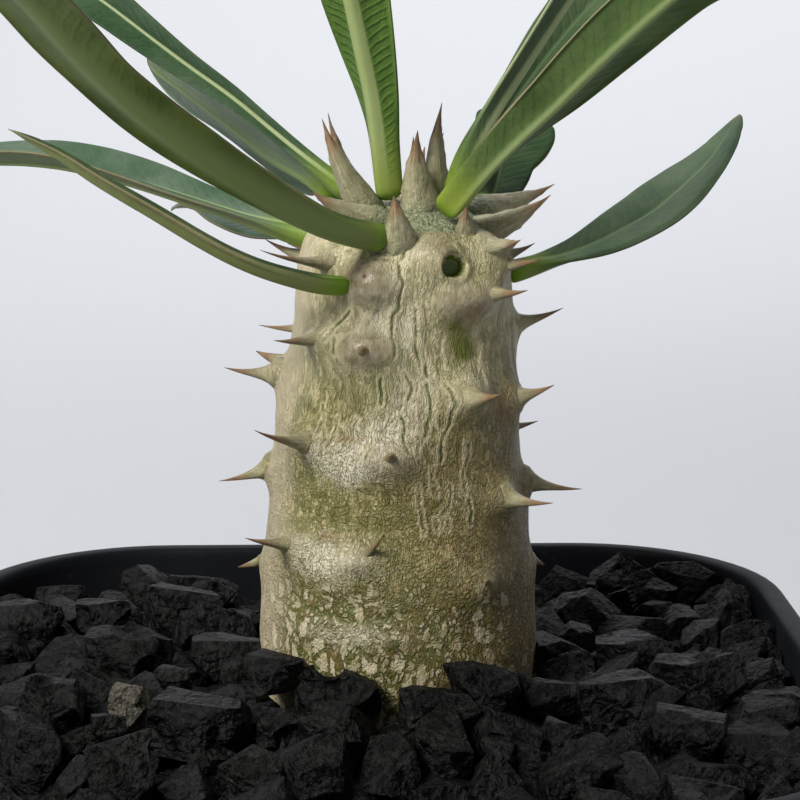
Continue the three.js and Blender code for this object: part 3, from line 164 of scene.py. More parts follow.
# Traced bark lines, each point an angle in degrees round the stem from the front and a height.
FISSURES = [
    [(-4.9, 41.78), (-4.3, 41.15), (-3.2, 40.25), (-3, 38.97), (-4.4, 37.96), (-6.8, 37.32), (-8, 36.4), (-7.6, 35.3), (-6, 34.76), (-4.8, 34.12), (-4.6, 33.57)],
    [(3.2, 37.96), (4.4, 37.05), (5.2, 35.77), (5, 34.58), (6.7, 33.66), (7.9, 32.74)],
    [(10.9, 32.64), (11.1, 31.54)],
    [(10.1, 30.92), (11.1, 30.46), (13.1, 29.72), (13.6, 28.64), (12.7, 27.74), (11, 27.02), (10.3, 26.1), (7.8, 25.37), (7.5, 24.54)],
    [(-1, 28.07), (0.1, 27.34), (0.4, 26.42), (1, 25.68), (3.4, 24.84)],
    [(-0.7, 31.85), (2.9, 30.94), (4, 30.31), (2.8, 29.59)],
    [(3.9, 28.69), (5.5, 27.33), (5.3, 26.5)],
    [(-11.2, 31.54), (-10.8, 30.64), (-9.6, 29.12)],
    [(19, 30.84), (23, 29.89), (23.9, 29.24), (22.3, 28.36), (21.3, 27.19), (19.1, 26.29), (17.8, 25.56), (19, 24.43), (18.6, 23.78)],
    [(15.2, 23.27), (13.7, 22.35), (14.5, 21.42), (15.3, 20.66)],
    [(22.4, 21.48), (21.6, 19.73), (18.2, 18.86)],
    [(20.4, 18.64), (19.6, 17.44)],
    [(8.7, 21.66), (8.6, 20.82), (8.1, 19.9), (8.9, 18.97), (8.7, 18.05), (9, 17.12)],
    [(-30.3, 27.68), (-29.8, 26.76), (-30.9, 25.62), (-34.8, 24.59), (-36.1, 23.9)],
    [(-14.2, 26.81), (-13, 25.89), (-13.6, 24.96), (-14.7, 24.2)],
    [(-39.9, 28.66), (-38.8, 27.77), (-38.4, 26.19)],
    [(-28.9, 37.51), (-32.2, 36.82), (-36.6, 35.83), (-39.1, 34.67)],
    [(-34.1, 34.94), (-34, 33.84), (-33.2, 33.57)],
    [(-35.4, 42.83), (-28.1, 42.55)],
    [(-16.9, 42.18), (-11.9, 42.12), (-8.1, 42.04), (-3.9, 42.14), (-0.7, 42.68)],
    [(29.1, 22.85), (30.4, 21.88), (29.7, 20.77)],
    [(31.8, 25.13), (32.5, 24.17), (30.2, 23.01)],
    [(31.5, 19.98), (32.1, 18.84), (31.2, 17.65)],
    [(14.9, 18.44), (15.1, 17.33)],
]
RIDGES = [
    [(-14.7, 37.92), (-20.2, 36.78), (-23.6, 36.01), (-30.5, 35), (-32.5, 34.32), (-32, 33.59), (-29.1, 32.81)],
    [(-6.8, 40.69), (-7.2, 39.6), (-9.1, 38.68), (-11, 37.76), (-12.1, 36.38)],
    [(0.2, 35.96), (2.5, 34.58), (5.3, 33.48), (7.5, 32.11), (7.3, 30.48), (6.6, 28.68), (6.1, 26.87)],
    [(7.4, 35.03), (11.2, 33.64), (14.9, 32.24), (15.5, 30.42), (16, 28.61), (15.2, 26.98)],
    [(42.5, 34.14), (41.4, 31.85), (40, 30.22)],
    [(29.6, 25.64), (28.8, 24.26), (29.1, 22.85)],
    [(17.1, 26.78), (16.4, 25.39), (17.1, 24.45)],
    [(-27.5, 22.88), (-29.8, 24.24), (-27.6, 25.22)],
]


# ------------------------------------------------------------------ helpers
def smoothstep(x, lo, hi):
    t = np.clip((np.asarray(x, float) - lo) / (hi - lo), 0, 1)
    return t * t * (3 - 2 * t)


def make_mesh(name, verts, faces, smooth=True, attrs=None):
    """A mesh object from points in millimetres."""
    me = bpy.data.meshes.new(name)
    v = np.asarray(verts, float) * MM
    if isinstance(faces, np.ndarray):
        faces = faces.tolist()
    me.from_pydata(v.tolist(), [], faces)
    me.update()
    if smooth:
        me.polygons.foreach_set("use_smooth", [True] * len(me.polygons))
    for key, val in (attrs or {}).items():
        val = np.asarray(val, float)
        if val.ndim == 1:
            a = me.attributes.new(key, "FLOAT", "POINT")
            a.data.foreach_set("value", val.astype(np.float32))
        else:
            a = me.attributes.new(key, "FLOAT_VECTOR", "POINT")
            a.data.foreach_set("vector", val.astype(np.float32).ravel())
    ob = bpy.data.objects.new(name, me)
    bpy.context.scene.collection.objects.link(ob)
    return ob


def grid_faces(rows, cols, wrap=True):
    i = np.arange(rows - 1)[:, None]
    j = np.arange(cols if wrap else cols - 1)[None, :]
    jn = (j + 1) % cols
    q = np.stack(np.broadcast_arrays(i * cols + j, i * cols + jn, (i + 1) * cols + jn, (i + 1) * cols + j), -1)
    return q.reshape(-1, 4)


class Nodes:
    """Short hands for building one material."""

    def __init__(self, name):
        self.mat = bpy.data.materials.new(name)
        self.mat.use_nodes = True
        self.t = self.mat.node_tree
        self.t.nodes.clear()
        self.out = self.t.nodes.new("ShaderNodeOutputMaterial")
        self.bsdf = self.t.nodes.new("ShaderNodeBsdfPrincipled")
        self.t.links.new(self.bsdf.outputs[0], self.out.inputs[0])

    def put(self, socket, v):
        if isinstance(v, bpy.types.NodeSocket):
            self.t.links.new(v, socket)
        elif v is not None:
            if isinstance(v, (tuple, list)) and socket.type == "RGBA" and len(v) == 3:
                v = (*v, 1.0)
            socket.default_value = v

    def set(self, name, v):
        self.put(self.bsdf.inputs[name], v)

    def pos(self):
        n = self.t.nodes.new("ShaderNodeTexCoord")
        s = self.t.nodes.new("ShaderNodeVectorMath")
        s.operation = "SCALE"
        self.t.links.new(n.outputs["Object"], s.inputs[0])
        s.inputs["Scale"].default_value = 1000.0
        return s.outputs[0]

    def attr(self, name, vector=False):
        n = self.t.nodes.new("ShaderNodeAttribute")
        n.attribute_name = name
        return n.outputs["Vector" if vector else "Fac"]

    def m(self, op, a, b=None, c=None, clamp=False):
        n = self.t.nodes.new("ShaderNodeMath")
        n.operation = op
        n.use_clamp = clamp
        self.put(n.inputs[0], a)
        self.put(n.inputs[1], b)
        self.put(n.inputs[2], c)
        return n.outputs[0]

    def v(self, op, a, b=None, scale=None):
        n = self.t.nodes.new("ShaderNodeVectorMath")
        n.operation = op
        self.put(n.inputs[0], a)
        self.put(n.inputs[1], b)
        if scale is not None:
            self.put(n.inputs["Scale"], scale)
        return n.outputs["Value" if op in ("LENGTH", "DISTANCE", "DOT_PRODUCT") else "Vector"]

    def xyz(self, v):
        n = self.t.nodes.new("ShaderNodeSeparateXYZ")
        self.put(n.inputs[0], v)
        return n.outputs

    def join(self, x, y, z):
        n = self.t.nodes.new("ShaderNodeCombineXYZ")
        self.put(n.inputs[0], x)
        self.put(n.inputs[1], y)
        self.put(n.inputs[2], z)
        return n.outputs[0]

    def step(self, x, lo, hi, a=0.0, b=1.0):
        n = self.t.nodes.new("ShaderNodeMapRange")
        n.interpolation_type = "SMOOTHSTEP"
        self.put(n.inputs["Value"], x)
        n.inputs["From Min"].default_value = lo
        n.inputs["From Max"].default_value = hi
        n.inputs["To Min"].default_value = a
        n.inputs["To Max"].default_value = b
        return n.outputs[0]

    def mix(self, f, a, b, mode="MIX"):
        n = self.t.nodes.new("ShaderNodeMix")
        n.data_type = "RGBA"
        n.blend_type = mode
        self.put(n.inputs[0], f)
        self.put(n.inputs[6], a)
        self.put(n.inputs[7], b)
        return n.outputs[2]

    def noise(self, vec, scale, detail=3.0, rough=0.5, colour=False, distort=0.0):
        # finer octaves than this fall under a pixel
        detail = min(detail, max(1.0, math.log2(16.0 / scale)))
        n = self.t.nodes.new("ShaderNodeTexNoise")
        self.put(n.inputs["Vector"], vec)
        n.inputs["Scale"].default_value = scale
        n.inputs["Detail"].default_value = detail
        n.inputs["Roughness"].default_value = rough
        n.inputs["Distortion"].default_value = distort
        return n.outputs["Color" if colour else "Fac"]

    def voro(self, vec, scale, feature="F1", metric="EUCLIDEAN", out="Distance", rand=1.0):
        n = self.t.nodes.new("ShaderNodeTexVoronoi")
        n.feature = feature
        if feature != "DISTANCE_TO_EDGE":
            n.distance = metric
        self.put(n.inputs["Vector"], vec)
        n.inputs["Scale"].default_value = scale
        n.inputs["Randomness"].default_value = rand
        return n.outputs[out]

    def bump(self, height, strength=1.0, distance=1.0, normal=None):
        """height and distance in millimetres."""
        n = self.t.nodes.new("ShaderNodeBump")
        n.inputs["Strength"].default_value = strength
        n.inputs["Distance"].default_value = distance * MM
        self.put(n.inputs["Height"], height)
        self.put(n.inputs["Normal"], normal)
        return n.outputs[0]


def wear(ob, mat):
    ob.data.materials.clear()
    ob.data.materials.append(mat)
    return ob


# ------------------------------------------------------------------- camera
cam_data = bpy.data.cameras.new("camera")
cam_data.sensor_width = 36.0
cam_data.lens = 101.5
cam_data.clip_start, cam_data.clip_end = 0.01, 50.0
cam = bpy.data.objects.new("camera", cam_data)
cam.location = Vector((-2.746, -214.70, 145.29)) * MM
cam.rotation_mode = "QUATERNION"
cam.rotation_quaternion = Vector((0.02402, 0.98296, -0.18224)).to_track_quat("-Z", "Y")
bpy.context.scene.collection.objects.link(cam)
bpy.context.scene.camera = cam

# -------------------------------------------------------------------- stage
def make_stage():
    n = Nodes("pale_floor")
    p = n.pos()
    f = n.noise(p, 0.004, 2.0, 0.5)
    far = n.step(n.xyz(p)[1], 250.0, 1250.0)
    n.set("Base Color", n.mix(n.m("ADD", n.m("MULTIPLY", f, 0.04), n.m("MULTIPLY", far, 0.96)), (0.565, 0.575, 0.600), (0.80, 0.81, 0.835)))
    n.set("Roughness", n.m("ADD", 0.72, n.m("MULTIPLY", f, 0.1)))
    prof = []
    y0, y1, rad = -1600.0, 700.0, 900.0
    prof.append((y0, 0.0))
    prof.append((y1, 0.0))
    for i in range(1, 25):
        a = i / 24 * math.pi / 2
        prof.append((y1 + rad * math.sin(a), rad * (1 - math.cos(a))))
    prof.append((y1 + rad, 2600.0))
    v, q = [], []
    for y, z in prof:
        v += [(-3000.0, y, z), (3000.0, y, z)]
    for i in range(len(prof) - 1):
        q.append((2 * i, 2 * i + 1, 2 * i + 3, 2 * i + 2))
    ob = wear(make_mesh("studio_floor", v, q), n.mat)
    return ob


def area(name, loc, target, size, power, colour=(1, 1, 1), size_y=None):
    d = bpy.data.lights.new(name, "AREA")
    d.energy = power
    d.color = colour
    d.shape = "RECTANGLE" if size_y else "SQUARE"
    d.size = size
    if size_y:
        d.size_y = size_y
    o = bpy.data.objects.new(name, d)
    o.location = loc
    o.rotation_mode = "QUATERNION"
    o.rotation_quaternion = (Vector(target) - Vector(loc)).to_track_quat("-Z", "Y")
    bpy.context.scene.collection.objects.link(o)
    return o


make_stage()
area("key", (-0.40, -0.42, 0.62), (0, 0, 0.1), 0.26, 8.6, (1.0, 0.985, 0.95))
area("fill_right", (0.75, -0.55, 0.35), (0, 0, 0.1), 0.6, 0.15, (0.95, 0.97, 1.0))
area("back", (-0.30, 0.60, 0.80), (0, 0, 0.12), 0.5, 1.6, (0.97, 0.98, 1.0))
area("wall", (0.25, 0.85, 1.25), (0.1, 1.6, 0.35), 1.6, 11.0, (0.975, 0.985, 1.0), 0.5)
world = bpy.data.worlds.new("studio")
world.use_nodes = True
world.node_tree.nodes["Background"].inputs[0].default_value = (0.93, 0.95, 1.0, 1)
world.node_tree.nodes["Background"].inputs[1].default_value = 0.22
bpy.context.scene.world = world
bpy.context.scene.view_settings.view_transform = "Standard"
bpy.context.scene.view_settings.look = "None"
bpy.context.scene.view_settings.exposure = 0.0


# ---------------------------------------------------------------------- pot
def rounded_square(half, radius, z, per=14, side=6):
    pts = []
    c = half - radius
    for q in range(4):
        cx, cy = (c, -c, -c, c)[q], (c, c, -c, -c)[q]
        for i in range(per + 1):
            a = (q + i / per) * math.pi / 2
            pts.append((cx + radius * math.cos(a), cy + radius * math.sin(a), z))
        a = (q + 1) * math.pi / 2
        p0 = np.array(pts[-1])
        nx, ny = (c, -c, -c, c)[(q + 1) % 4], (c, c, -c, -c)[(q + 1) % 4]
        p1 = np.array((nx + radius * math.cos(a), ny + radius * math.sin(a), z))
        for i in range(1, side):
            pts.append(tuple(p0 + (p1 - p0) * i / side))
    return pts


def body_half(z): return POT_BASE / 2 + (POT_TOP / 2 - RIM_STEP - POT_BASE / 2) * z / POT_H
def body_r(z): return BASE_R + (RIM_R - RIM_STEP - BASE_R) * z / POT_H
def inner_half(z): return body_half(z) - WALL
def inner_r(z): return max(body_r(z) - WALL, 2.0)


def make_pot():
    top = POT_TOP / 2
    band = POT_H - RIM_BAND
    rows = []
    for h, r, z in [(10, 6, 0.0), (POT_BASE / 2 - 2.5, BASE_R - 2.5, 0.0), (POT_BASE / 2 - 1.0, BASE_R - 1.0, 0.0),
                    (POT_BASE / 2 - 0.35, BASE_R - 0.35, 0.3), (POT_BASE / 2, BASE_R, 1.0)]:
        rows.append((h, r, z))
    for z in np.linspace(6, band - 3, 9):
        rows.append((body_half(z), body_r(z), z))
    rows += [(body_half(band - 0.9), body_r(band - 0.9), band - 0.9),
             (body_half(band - 0.5) + 0.1, body_r(band - 0.5) + 0.1, band - 0.45),
             (body_half(band) + RIM_STEP * 0.72, body_r(band) + RIM_STEP * 0.72, band - 0.1),
             (body_half(band) + RIM_STEP * 0.9, body_r(band) + RIM_STEP * 0.9, band + 0.25),
             (body_half(band + 1) + RIM_STEP * 0.93, body_r(band + 1) + RIM_STEP * 0.93, band + 1.0),
             (top - 0.35, RIM_R - 0.35, POT_H - 4.0), (top - 0.05, RIM_R - 0.05, POT_H - 1.2),
             (top - 0.02, RIM_R - 0.02, POT_H - 0.8), (top - 0.15, RIM_R - 0.15, POT_H - 0.35),
             (top - 0.45, RIM_R - 0.45, POT_H - 0.07), (top - 0.85, RIM_R - 0.85, POT_H),
             (inner_half(POT_H) + 0.75, inner_r(POT_H) + 0.75, POT_H),
             (inner_half(POT_H) + 0.35, inner_r(POT_H) + 0.35, POT_H - 0.12),
             (inner_half(POT_H) + 0.1, inner_r(POT_H) + 0.1, POT_H - 0.5),
             (inner_half(POT_H), inner_r(POT_H), POT_H - 1.2)]
    for z in np.linspace(POT_H - 5, FLOOR + 2, 8):
        rows.append((inner_half(z), inner_r(z), z))
    rows += [(inner_half(FLOOR), inner_r(FLOOR), FLOOR + 0.6), (inner_half(FLOOR) - 1.2, inner_r(FLOOR) - 1.2, FLOOR), (10, 6, FLOOR)]
    v = []
    for h, r, z in rows:
        v += rounded_square(h, r, z)
    cols = len(v) // len(rows)
    f = grid_faces(len(rows), cols).tolist()
    last = (len(rows) - 1) * cols
    v += [(0, 0, 0.0), (0, 0, FLOOR)]
    for i in range(cols):
        j = (i + 1) % cols
        f.append((len(v) - 2, j, i))
        f.append((len(v) - 1, last + i, last + j))
    ob = make_mesh("pot_shell", v, f)
    # drain holes
    cut = []
    for sx in (-1, 1):
        for sy in (-1, 1):
            me = bpy.data.meshes.new("drill")
            bm = bmesh.new()
            bmesh.ops.create_cone(bm, cap_ends=True, segments=40, radius1=DRAIN_R * MM, radius2=DRAIN_R * MM, depth=0.008,
                                  matrix=Matrix.Translation((sx * DRAIN_AT * MM, sy * DRAIN_AT * MM, 0.001)))
            bm.to_mesh(me)
            bm.free()
            d = bpy.data.objects.new("drill", me)
            bpy.context.scene.collection.objects.link(d)
            mod = ob.modifiers.new("drain", "BOOLEAN")
            mod.object = d
            mod.operation = "DIFFERENCE"
            mod.solver = "EXACT"
            cut.append(d)
    dg = bpy.context.evaluated_depsgraph_get()
    me = bpy.data.meshes.new_from_object(ob.evaluated_get(dg))
    ob.modifiers.clear()
    ob.data = me
    for d in cut:
        bpy.data.objects.remove(d)
    bm = bmesh.new()
    bm.from_mesh(me)
    for e in bm.edges:
        if len(e.link_faces) == 2 and e.calc_face_angle(0) > math.radians(50):
            e.smooth = False
    bm.to_mesh(me)
    bm.free()
    me.polygons.foreach_set("use_smooth", [True] * len(me.polygons))
    n = Nodes("black_plastic")
    p = n.pos()
    fine = n.noise(p, 3.0, 4.0, 0.6)
    big = n.noise(p, 0.12, 3.0, 0.5)
    dust = n.step(n.noise(p, 1.4, 5.0, 0.75), 0.60, 0.78)
    z = n.xyz(p)[2]
    low = n.step(z, 70.0, 79.0, 0.25, 1.0)
    base = n.mix(big, (0.0045, 0.005, 0.0065), (0.009, 0.0098, 0.012))
    n.set("Base Color", n.mix(n.m("MULTIPLY", n.m("MULTIPLY", dust, 0.35), low), base, (0.06, 0.058, 0.055)))
    n.set("Roughness", n.m("ADD", n.m("MULTIPLY", fine, 0.14), n.m("ADD", 0.38, n.m("MULTIPLY", dust, 0.25))))
    n.bsdf.inputs["Specular IOR Level"].default_value = 0.05
    n.set("Normal", n.bump(n.m("ADD", n.m("MULTIPLY", fine, 0.02), n.m("MULTIPLY", big, 0.4)), 0.6, 1.0))
    wear(ob, n.mat)
    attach(ob, "root")
    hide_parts("pot")
    return ob


make_pot()


# ------------------------------------------------------------ growing mix
def soil_material():
    n = Nodes("growing_mix")
    p = n.pos()
    c = n.noise(p, 0.9, 6.0, 0.7)
    cell = n.voro(p, 0.8, out="Color")
    crumbs = n.voro(p, 1.6)
    col = n.mix(c, (0.018, 0.011, 0.006), (0.07, 0.045, 0.025))
    col = n.mix(n.step(n.xyz(cell)[0], 0.86, 0.9), col, (0.22, 0.19, 0.15))
    n.set("Base Color", col)
    n.set("Roughness", n.m("ADD", 0.8, n.m("MULTIPLY", c, 0.15)))
    n.set("Normal", n.bump(n.m("ADD", n.m("MULTIPLY", c, 0.8), n.m("MULTIPLY", crumbs, -0.7)), 1.0, 1.2))
    return n.mat


wear(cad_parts["soil"], soil_material())


# ---------------------------------------------------------------- stones
def stone_material():
    n = Nodes("crushed_black_stone")
    p = n.pos()
    px = n.xyz(p)[0]
    tint = n.attr("tint")
    edge = n.attr("edge")
    rough = n.noise(p, 0.9, 6.0, 0.72)
    grain = n.noise(p, 5.0, 4.0, 0.7)
    pits = n.voro(n.v("ADD", p, n.v("SCALE", n.noise(p, 1.2, 2.0, 0.5, True), scale=0.8)), 1.3)
    chips = n.voro(n.v("ADD", p, n.v("SCALE", n.noise(p, 0.8, 3.0, 0.6, True), scale=1.4)), 0.75, "DISTANCE_TO_EDGE")
    base = n.mix(tint, (0.0012, 0.0012, 0.0013), (0.0042, 0.0041, 0.0039))
    # painted shade: the stones darken towards the right (+x), and their paler mottles fade there too
    base = n.mix(n.m("MULTIPLY", n.step(px, -12.0, 32.0), 0.55), base, (0.0012, 0.0012, 0.0013))
    base = n.mix(n.m("MULTIPLY", n.step(rough, 0.42, 0.68), n.m("SUBTRACT", 1.0, n.m("MULTIPLY", n.step(px, -12.0, 32.0), 0.6))), base, n.mix(0.5, base, (0.0085, 0.0083, 0.0078)))
    pale_one = n.step(tint, 0.972, 0.98)
    base = n.mix(n.m("MULTIPLY", pale_one, 0.85), base, n.mix(n.step(grain, 0.40, 0.62), (0.075, 0.066, 0.050), (0.165, 0.150, 0.120)))
    worn = n.m("MULTIPLY", n.step(edge, 0.25, 0.95), n.step(n.noise(p, 0.9, 5.0, 0.7), 0.46, 0.64))
    base = n.mix(n.m("MULTIPLY", worn, 0.38), base, (0.024, 0.0235, 0.023))
    dust = n.step(n.noise(p, 2.6, 6.0, 0.8), 0.62, 0.76)
    base = n.mix(n.m("MULTIPLY", dust, 0.16), base, (0.055, 0.053, 0.050))
    n.set("Base Color", base)
    shine = n.step(n.noise(n.v("ADD", p, (9.0, 4.0, 1.0)), 1.5, 4.0, 0.7), 0.56, 0.70)
    n.set("Roughness", n.m("SUBTRACT", n.m("ADD", 0.40, n.m("MULTIPLY", rough, 0.24)), n.m("MULTIPLY", shine, 0.20)))
    n.bsdf.inputs["Specular IOR Level"].default_value = 0.125
    h = n.m("ADD", n.m("MULTIPLY", rough, 0.95), n.m("MULTIPLY", grain, 0.16))
    h = n.m("ADD", h, n.m("MULTIPLY", pits, 0.22))
    # flat broken facets, each cell tilted its own way
    for sc, k in ((0.34, 0.62), (1.05, 0.42)):
        w = n.v("ADD", p, n.v("SCALE", n.noise(p, sc * 1.3, 2.0, 0.5, True), scale=0.5 / sc))
        tilt = n.v("SUBTRACT", n.voro(w, sc, out="Color"), (0.5, 0.5, 0.5))
        at = n.v("SUBTRACT", w, n.voro(w, sc, out="Position"))
        h = n.m("ADD", h, n.m("MULTIPLY", n.v("DOT_PRODUCT", tilt, at), 2 * k))
    h = n.m("ADD", h, n.m("MULTIPLY", n.step(chips, 0.0, 0.35), 0.30))
    n.set("Normal", n.bump(h, 1.0, 0.8))
    return n.mat


STONE_MAT = stone_material()


def polyhedron(rand, planes, semi):
    """A convex lump cut by random planes. Points in millimetres."""
    bm = bmesh.new()
    bmesh.ops.create_cube(bm, size=2.0)
    for v in bm.verts:
        v.co = Vector((v.co.x * semi[0], v.co.y * semi[1], v.co.z * semi[2]))
    cuts = []
    for k in range(planes):
        zz = 2 * ((k + 0.5) / planes) - 1
        a = k * 2.39996 + rand.uniform(0, 1.6)
        s = math.sqrt(max(0.0, 1 - zz * zz))
        d = Vector((s * math.cos(a), s * math.sin(a), zz + rand.uniform(-0.2, 0.2))).normalized()
        reach = math.sqrt((d.x * semi[0]) ** 2 + (d.y * semi[1]) ** 2 + (d.z * semi[2]) ** 2) * rand.uniform(0.70, 0.98)
        cuts.append((d, reach))
    for d, reach in cuts:
        clip(bm, d * reach, d)
    return bm


def clip(bm, co, no):
    r = bmesh.ops.bisect_plane(bm, geom=bm.verts[:] + bm.edges[:] + bm.faces[:], plane_co=co, plane_no=no, clear_outer=True, dist=1e-5)
    ring = [e for e in r["geom_cut"] if isinstance(e, bmesh.types.BMEdge)]
    if len(ring) > 2:
        bmesh.ops.contextual_create(bm, geom=ring)


def worn(bm, width, segs, detail, rand, rough=0.0, chips=0, fine=0.55):
    """Rounds the edges of a lump, roughens it, and gives back its points, faces and edge wear."""
    bmesh.ops.dissolve_limit(bm, angle_limit=math.radians(2), verts=bm.verts, edges=bm.edges)
    bmesh.ops.remove_doubles(bm, verts=bm.verts, dist=0.04)
    r = bmesh.ops.bevel(bm, geom=bm.edges[:], offset=width, offset_type="OFFSET", segments=segs, profile=0.55, affect="EDGES", clamp_overlap=True)
    lay = bm.verts.layers.float.new("edge")
    for f in r["faces"]:
        for v in f.verts:
            v[lay] = 1.0
    bmesh.ops.triangulate(bm, faces=[f for f in bm.faces if len(f.verts) > 4])
    for _ in range(detail):
        long = [e for e in bm.edges if e.calc_length() > fine]
        bmesh.ops.subdivide_edges(bm, edges=long, cuts=1, use_grid_fill=True)
        bmesh.ops.triangulate(bm, faces=[f for f in bm.faces if len(f.verts) > 4])
    v = np.array([x.co[:] for x in bm.verts])
    e = np.array([x[lay] for x in bm.verts])
    bm.verts.index_update()
    f = [[x.index for x in face.verts] for face in bm.faces]
    bm.free()
    size = np.ptp(v, axis=0).mean() / 2
    c = v.mean(0)
    # shell-shaped chips knocked off the corners
    for k in range(chips):
        d = rand.normal(size=3)
        d /= np.linalg.norm(d)
        top = ((v - c) @ d).max()
        rs = size * rand.uniform(0.45, 1.1)
        o = c + d * (top + rs - size * rand.uniform(0.10, 0.26)) + rand.normal(size=3) * size * 0.25
        q = v - o
        L = np.linalg.norm(q, axis=1)
        inside = L < rs
        v[inside] = o + q[inside] / np.maximum(L[inside], 1e-6)[:, None] * rs
    if rough > 0:
        d = v - c
        L = np.linalg.norm(d, axis=1)
        k = rand.normal(size=(16, 3))
        k = k / np.linalg.norm(k, axis=1)[:, None] * np.linspace(1.6, 9.0, 16)[:, None] / size
        ph = rand.uniform(0, 6.28, 16)
        h = sum((1 - np.abs(np.sin(v @ k[i] + ph[i])) * 1.6) / (1 + 0.35 * i) for i in range(16))
        v = v + d / np.maximum(L, 1e-6)[:, None] * (h * rough)[:, None]
    return v, f, e


def settle(rand, fixed):
    """Lets a heap of round grains settle in the pot round the stem and the fixed stones."""
    n = 480
    r = np.clip(rand.lognormal(math.log(2.20), 0.27, n), 1.1, 3.6)
    p = np.stack([rand.uniform(-41, 41, n), rand.uniform(-41, 41, n), rand.uniform(72.5, 80, n)], 1)
    sink = rand.uniform(0, 1, n) ** 1.6 * 2.8
    half, rad = inner_half(76) - 0.35, inner_r(76) - 0.35
    fp = np.array([x[:3] for x in fixed]) if len(fixed) else np.zeros((0, 3))
    fr = np.array([x[3] for x in fixed])
    for it in range(260):
        d = p[:, None] - p[None]
        L = np.linalg.norm(d, axis=2) + np.eye(n) * 99
        o = np.clip((r[:, None] + r[None]) * 0.96 - L, 0, None)
        push = (d / L[..., None] * (o * 0.5)[..., None])
        push[..., 2] *= 0.8
        p += push.sum(1) * 0.6
        if len(fixed):
            d = p[:, None] - fp[None]
            L = np.linalg.norm(d, axis=2) + 1e-6
            o = np.clip((r[:, None] + fr[None]) * 0.95 - L, 0, None)
            p += (d / L[..., None] * o[..., None]).sum(1) * 0.7
        # stem
        q = p[:, :2] - np.array([STEM_X, STEM_Y])
        L = np.linalg.norm(q, axis=1) + 1e-6
        o = np.clip(13.35 + r * 0.82 - L, 0, None)
        p[:, :2] += q / L[:, None] * o[:, None]
        # pot wall, a rounded square
        c = half - rad
        q = np.abs(p[:, :2]) - c
        s = np.sign(p[:, :2])
        out = np.linalg.norm(np.clip(q, 0, None), axis=1) + np.minimum(q.max(1), 0) - (rad - r * 0.98)
        g = np.where((q > 0).all(1)[:, None], np.clip(q, 0, None), np.where(q >= q.max(1)[:, None], 1.0, 0.0))
        g = g / (np.linalg.norm(g, axis=1) + 1e-6)[:, None]
        p[:, :2] -= s * g * np.clip(out, 0, None)[:, None]
        p[:, 2] -= 0.05
        p[:, 2] = np.clip(p[:, 2], 71.5 + r * 0.5, 80.9 - r * 0.9 - sink)
    return p, r


def bed(name, p, r, chosen, shapes, rand):
    V, Fc, E, T, base = [], [], [], [], 0
    for i in chosen:
        v, f, e = shapes[rand.randint(len(shapes))]
        q = rand.normal(size=4)
        q /= np.linalg.norm(q)
        w, x, y, z = q
        R = np.array([[1 - 2 * (y * y + z * z), 2 * (x * y - z * w), 2 * (x * z + y * w)],
                      [2 * (x * y + z * w), 1 - 2 * (x * x + z * z), 2 * (y * z - x * w)],
                      [2 * (x * z - y * w), 2 * (y * z + x * w), 1 - 2 * (x * x + y * y)]])
        pv = (v * r[i] * 1.04) @ R.T
        pv[:, 2] *= 0.92
        pv = pv + p[i]
        # keep it inside the pot's wall
        half, rad = inner_half(76) - 0.25, inner_r(76) - 0.25
        c = half - rad
        qq = np.abs(pv[:, :2]) - c
        L = np.linalg.norm(np.clip(qq, 0, None), axis=1)
        over = np.clip(L - rad, 0, None)
        gg = np.clip(qq, 0, None) / np.maximum(L, 1e-6)[:, None]
        pv[:, :2] -= np.sign(pv[:, :2]) * gg * over[:, None]
        V.append(pv)
        Fc += [[k + base for k in face] for face in f]
        base += len(pv)
        E.append(e)
        T.append(np.full(len(pv), rand.uniform(0, 0.95)))
    ob = make_mesh(name, np.concatenate(V), Fc, True, {"edge": np.concatenate(E), "tint": np.concatenate(T)})
    soften(ob)
    wear(ob, STONE_MAT)
    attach(ob, "root")
    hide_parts("gravel_layer")


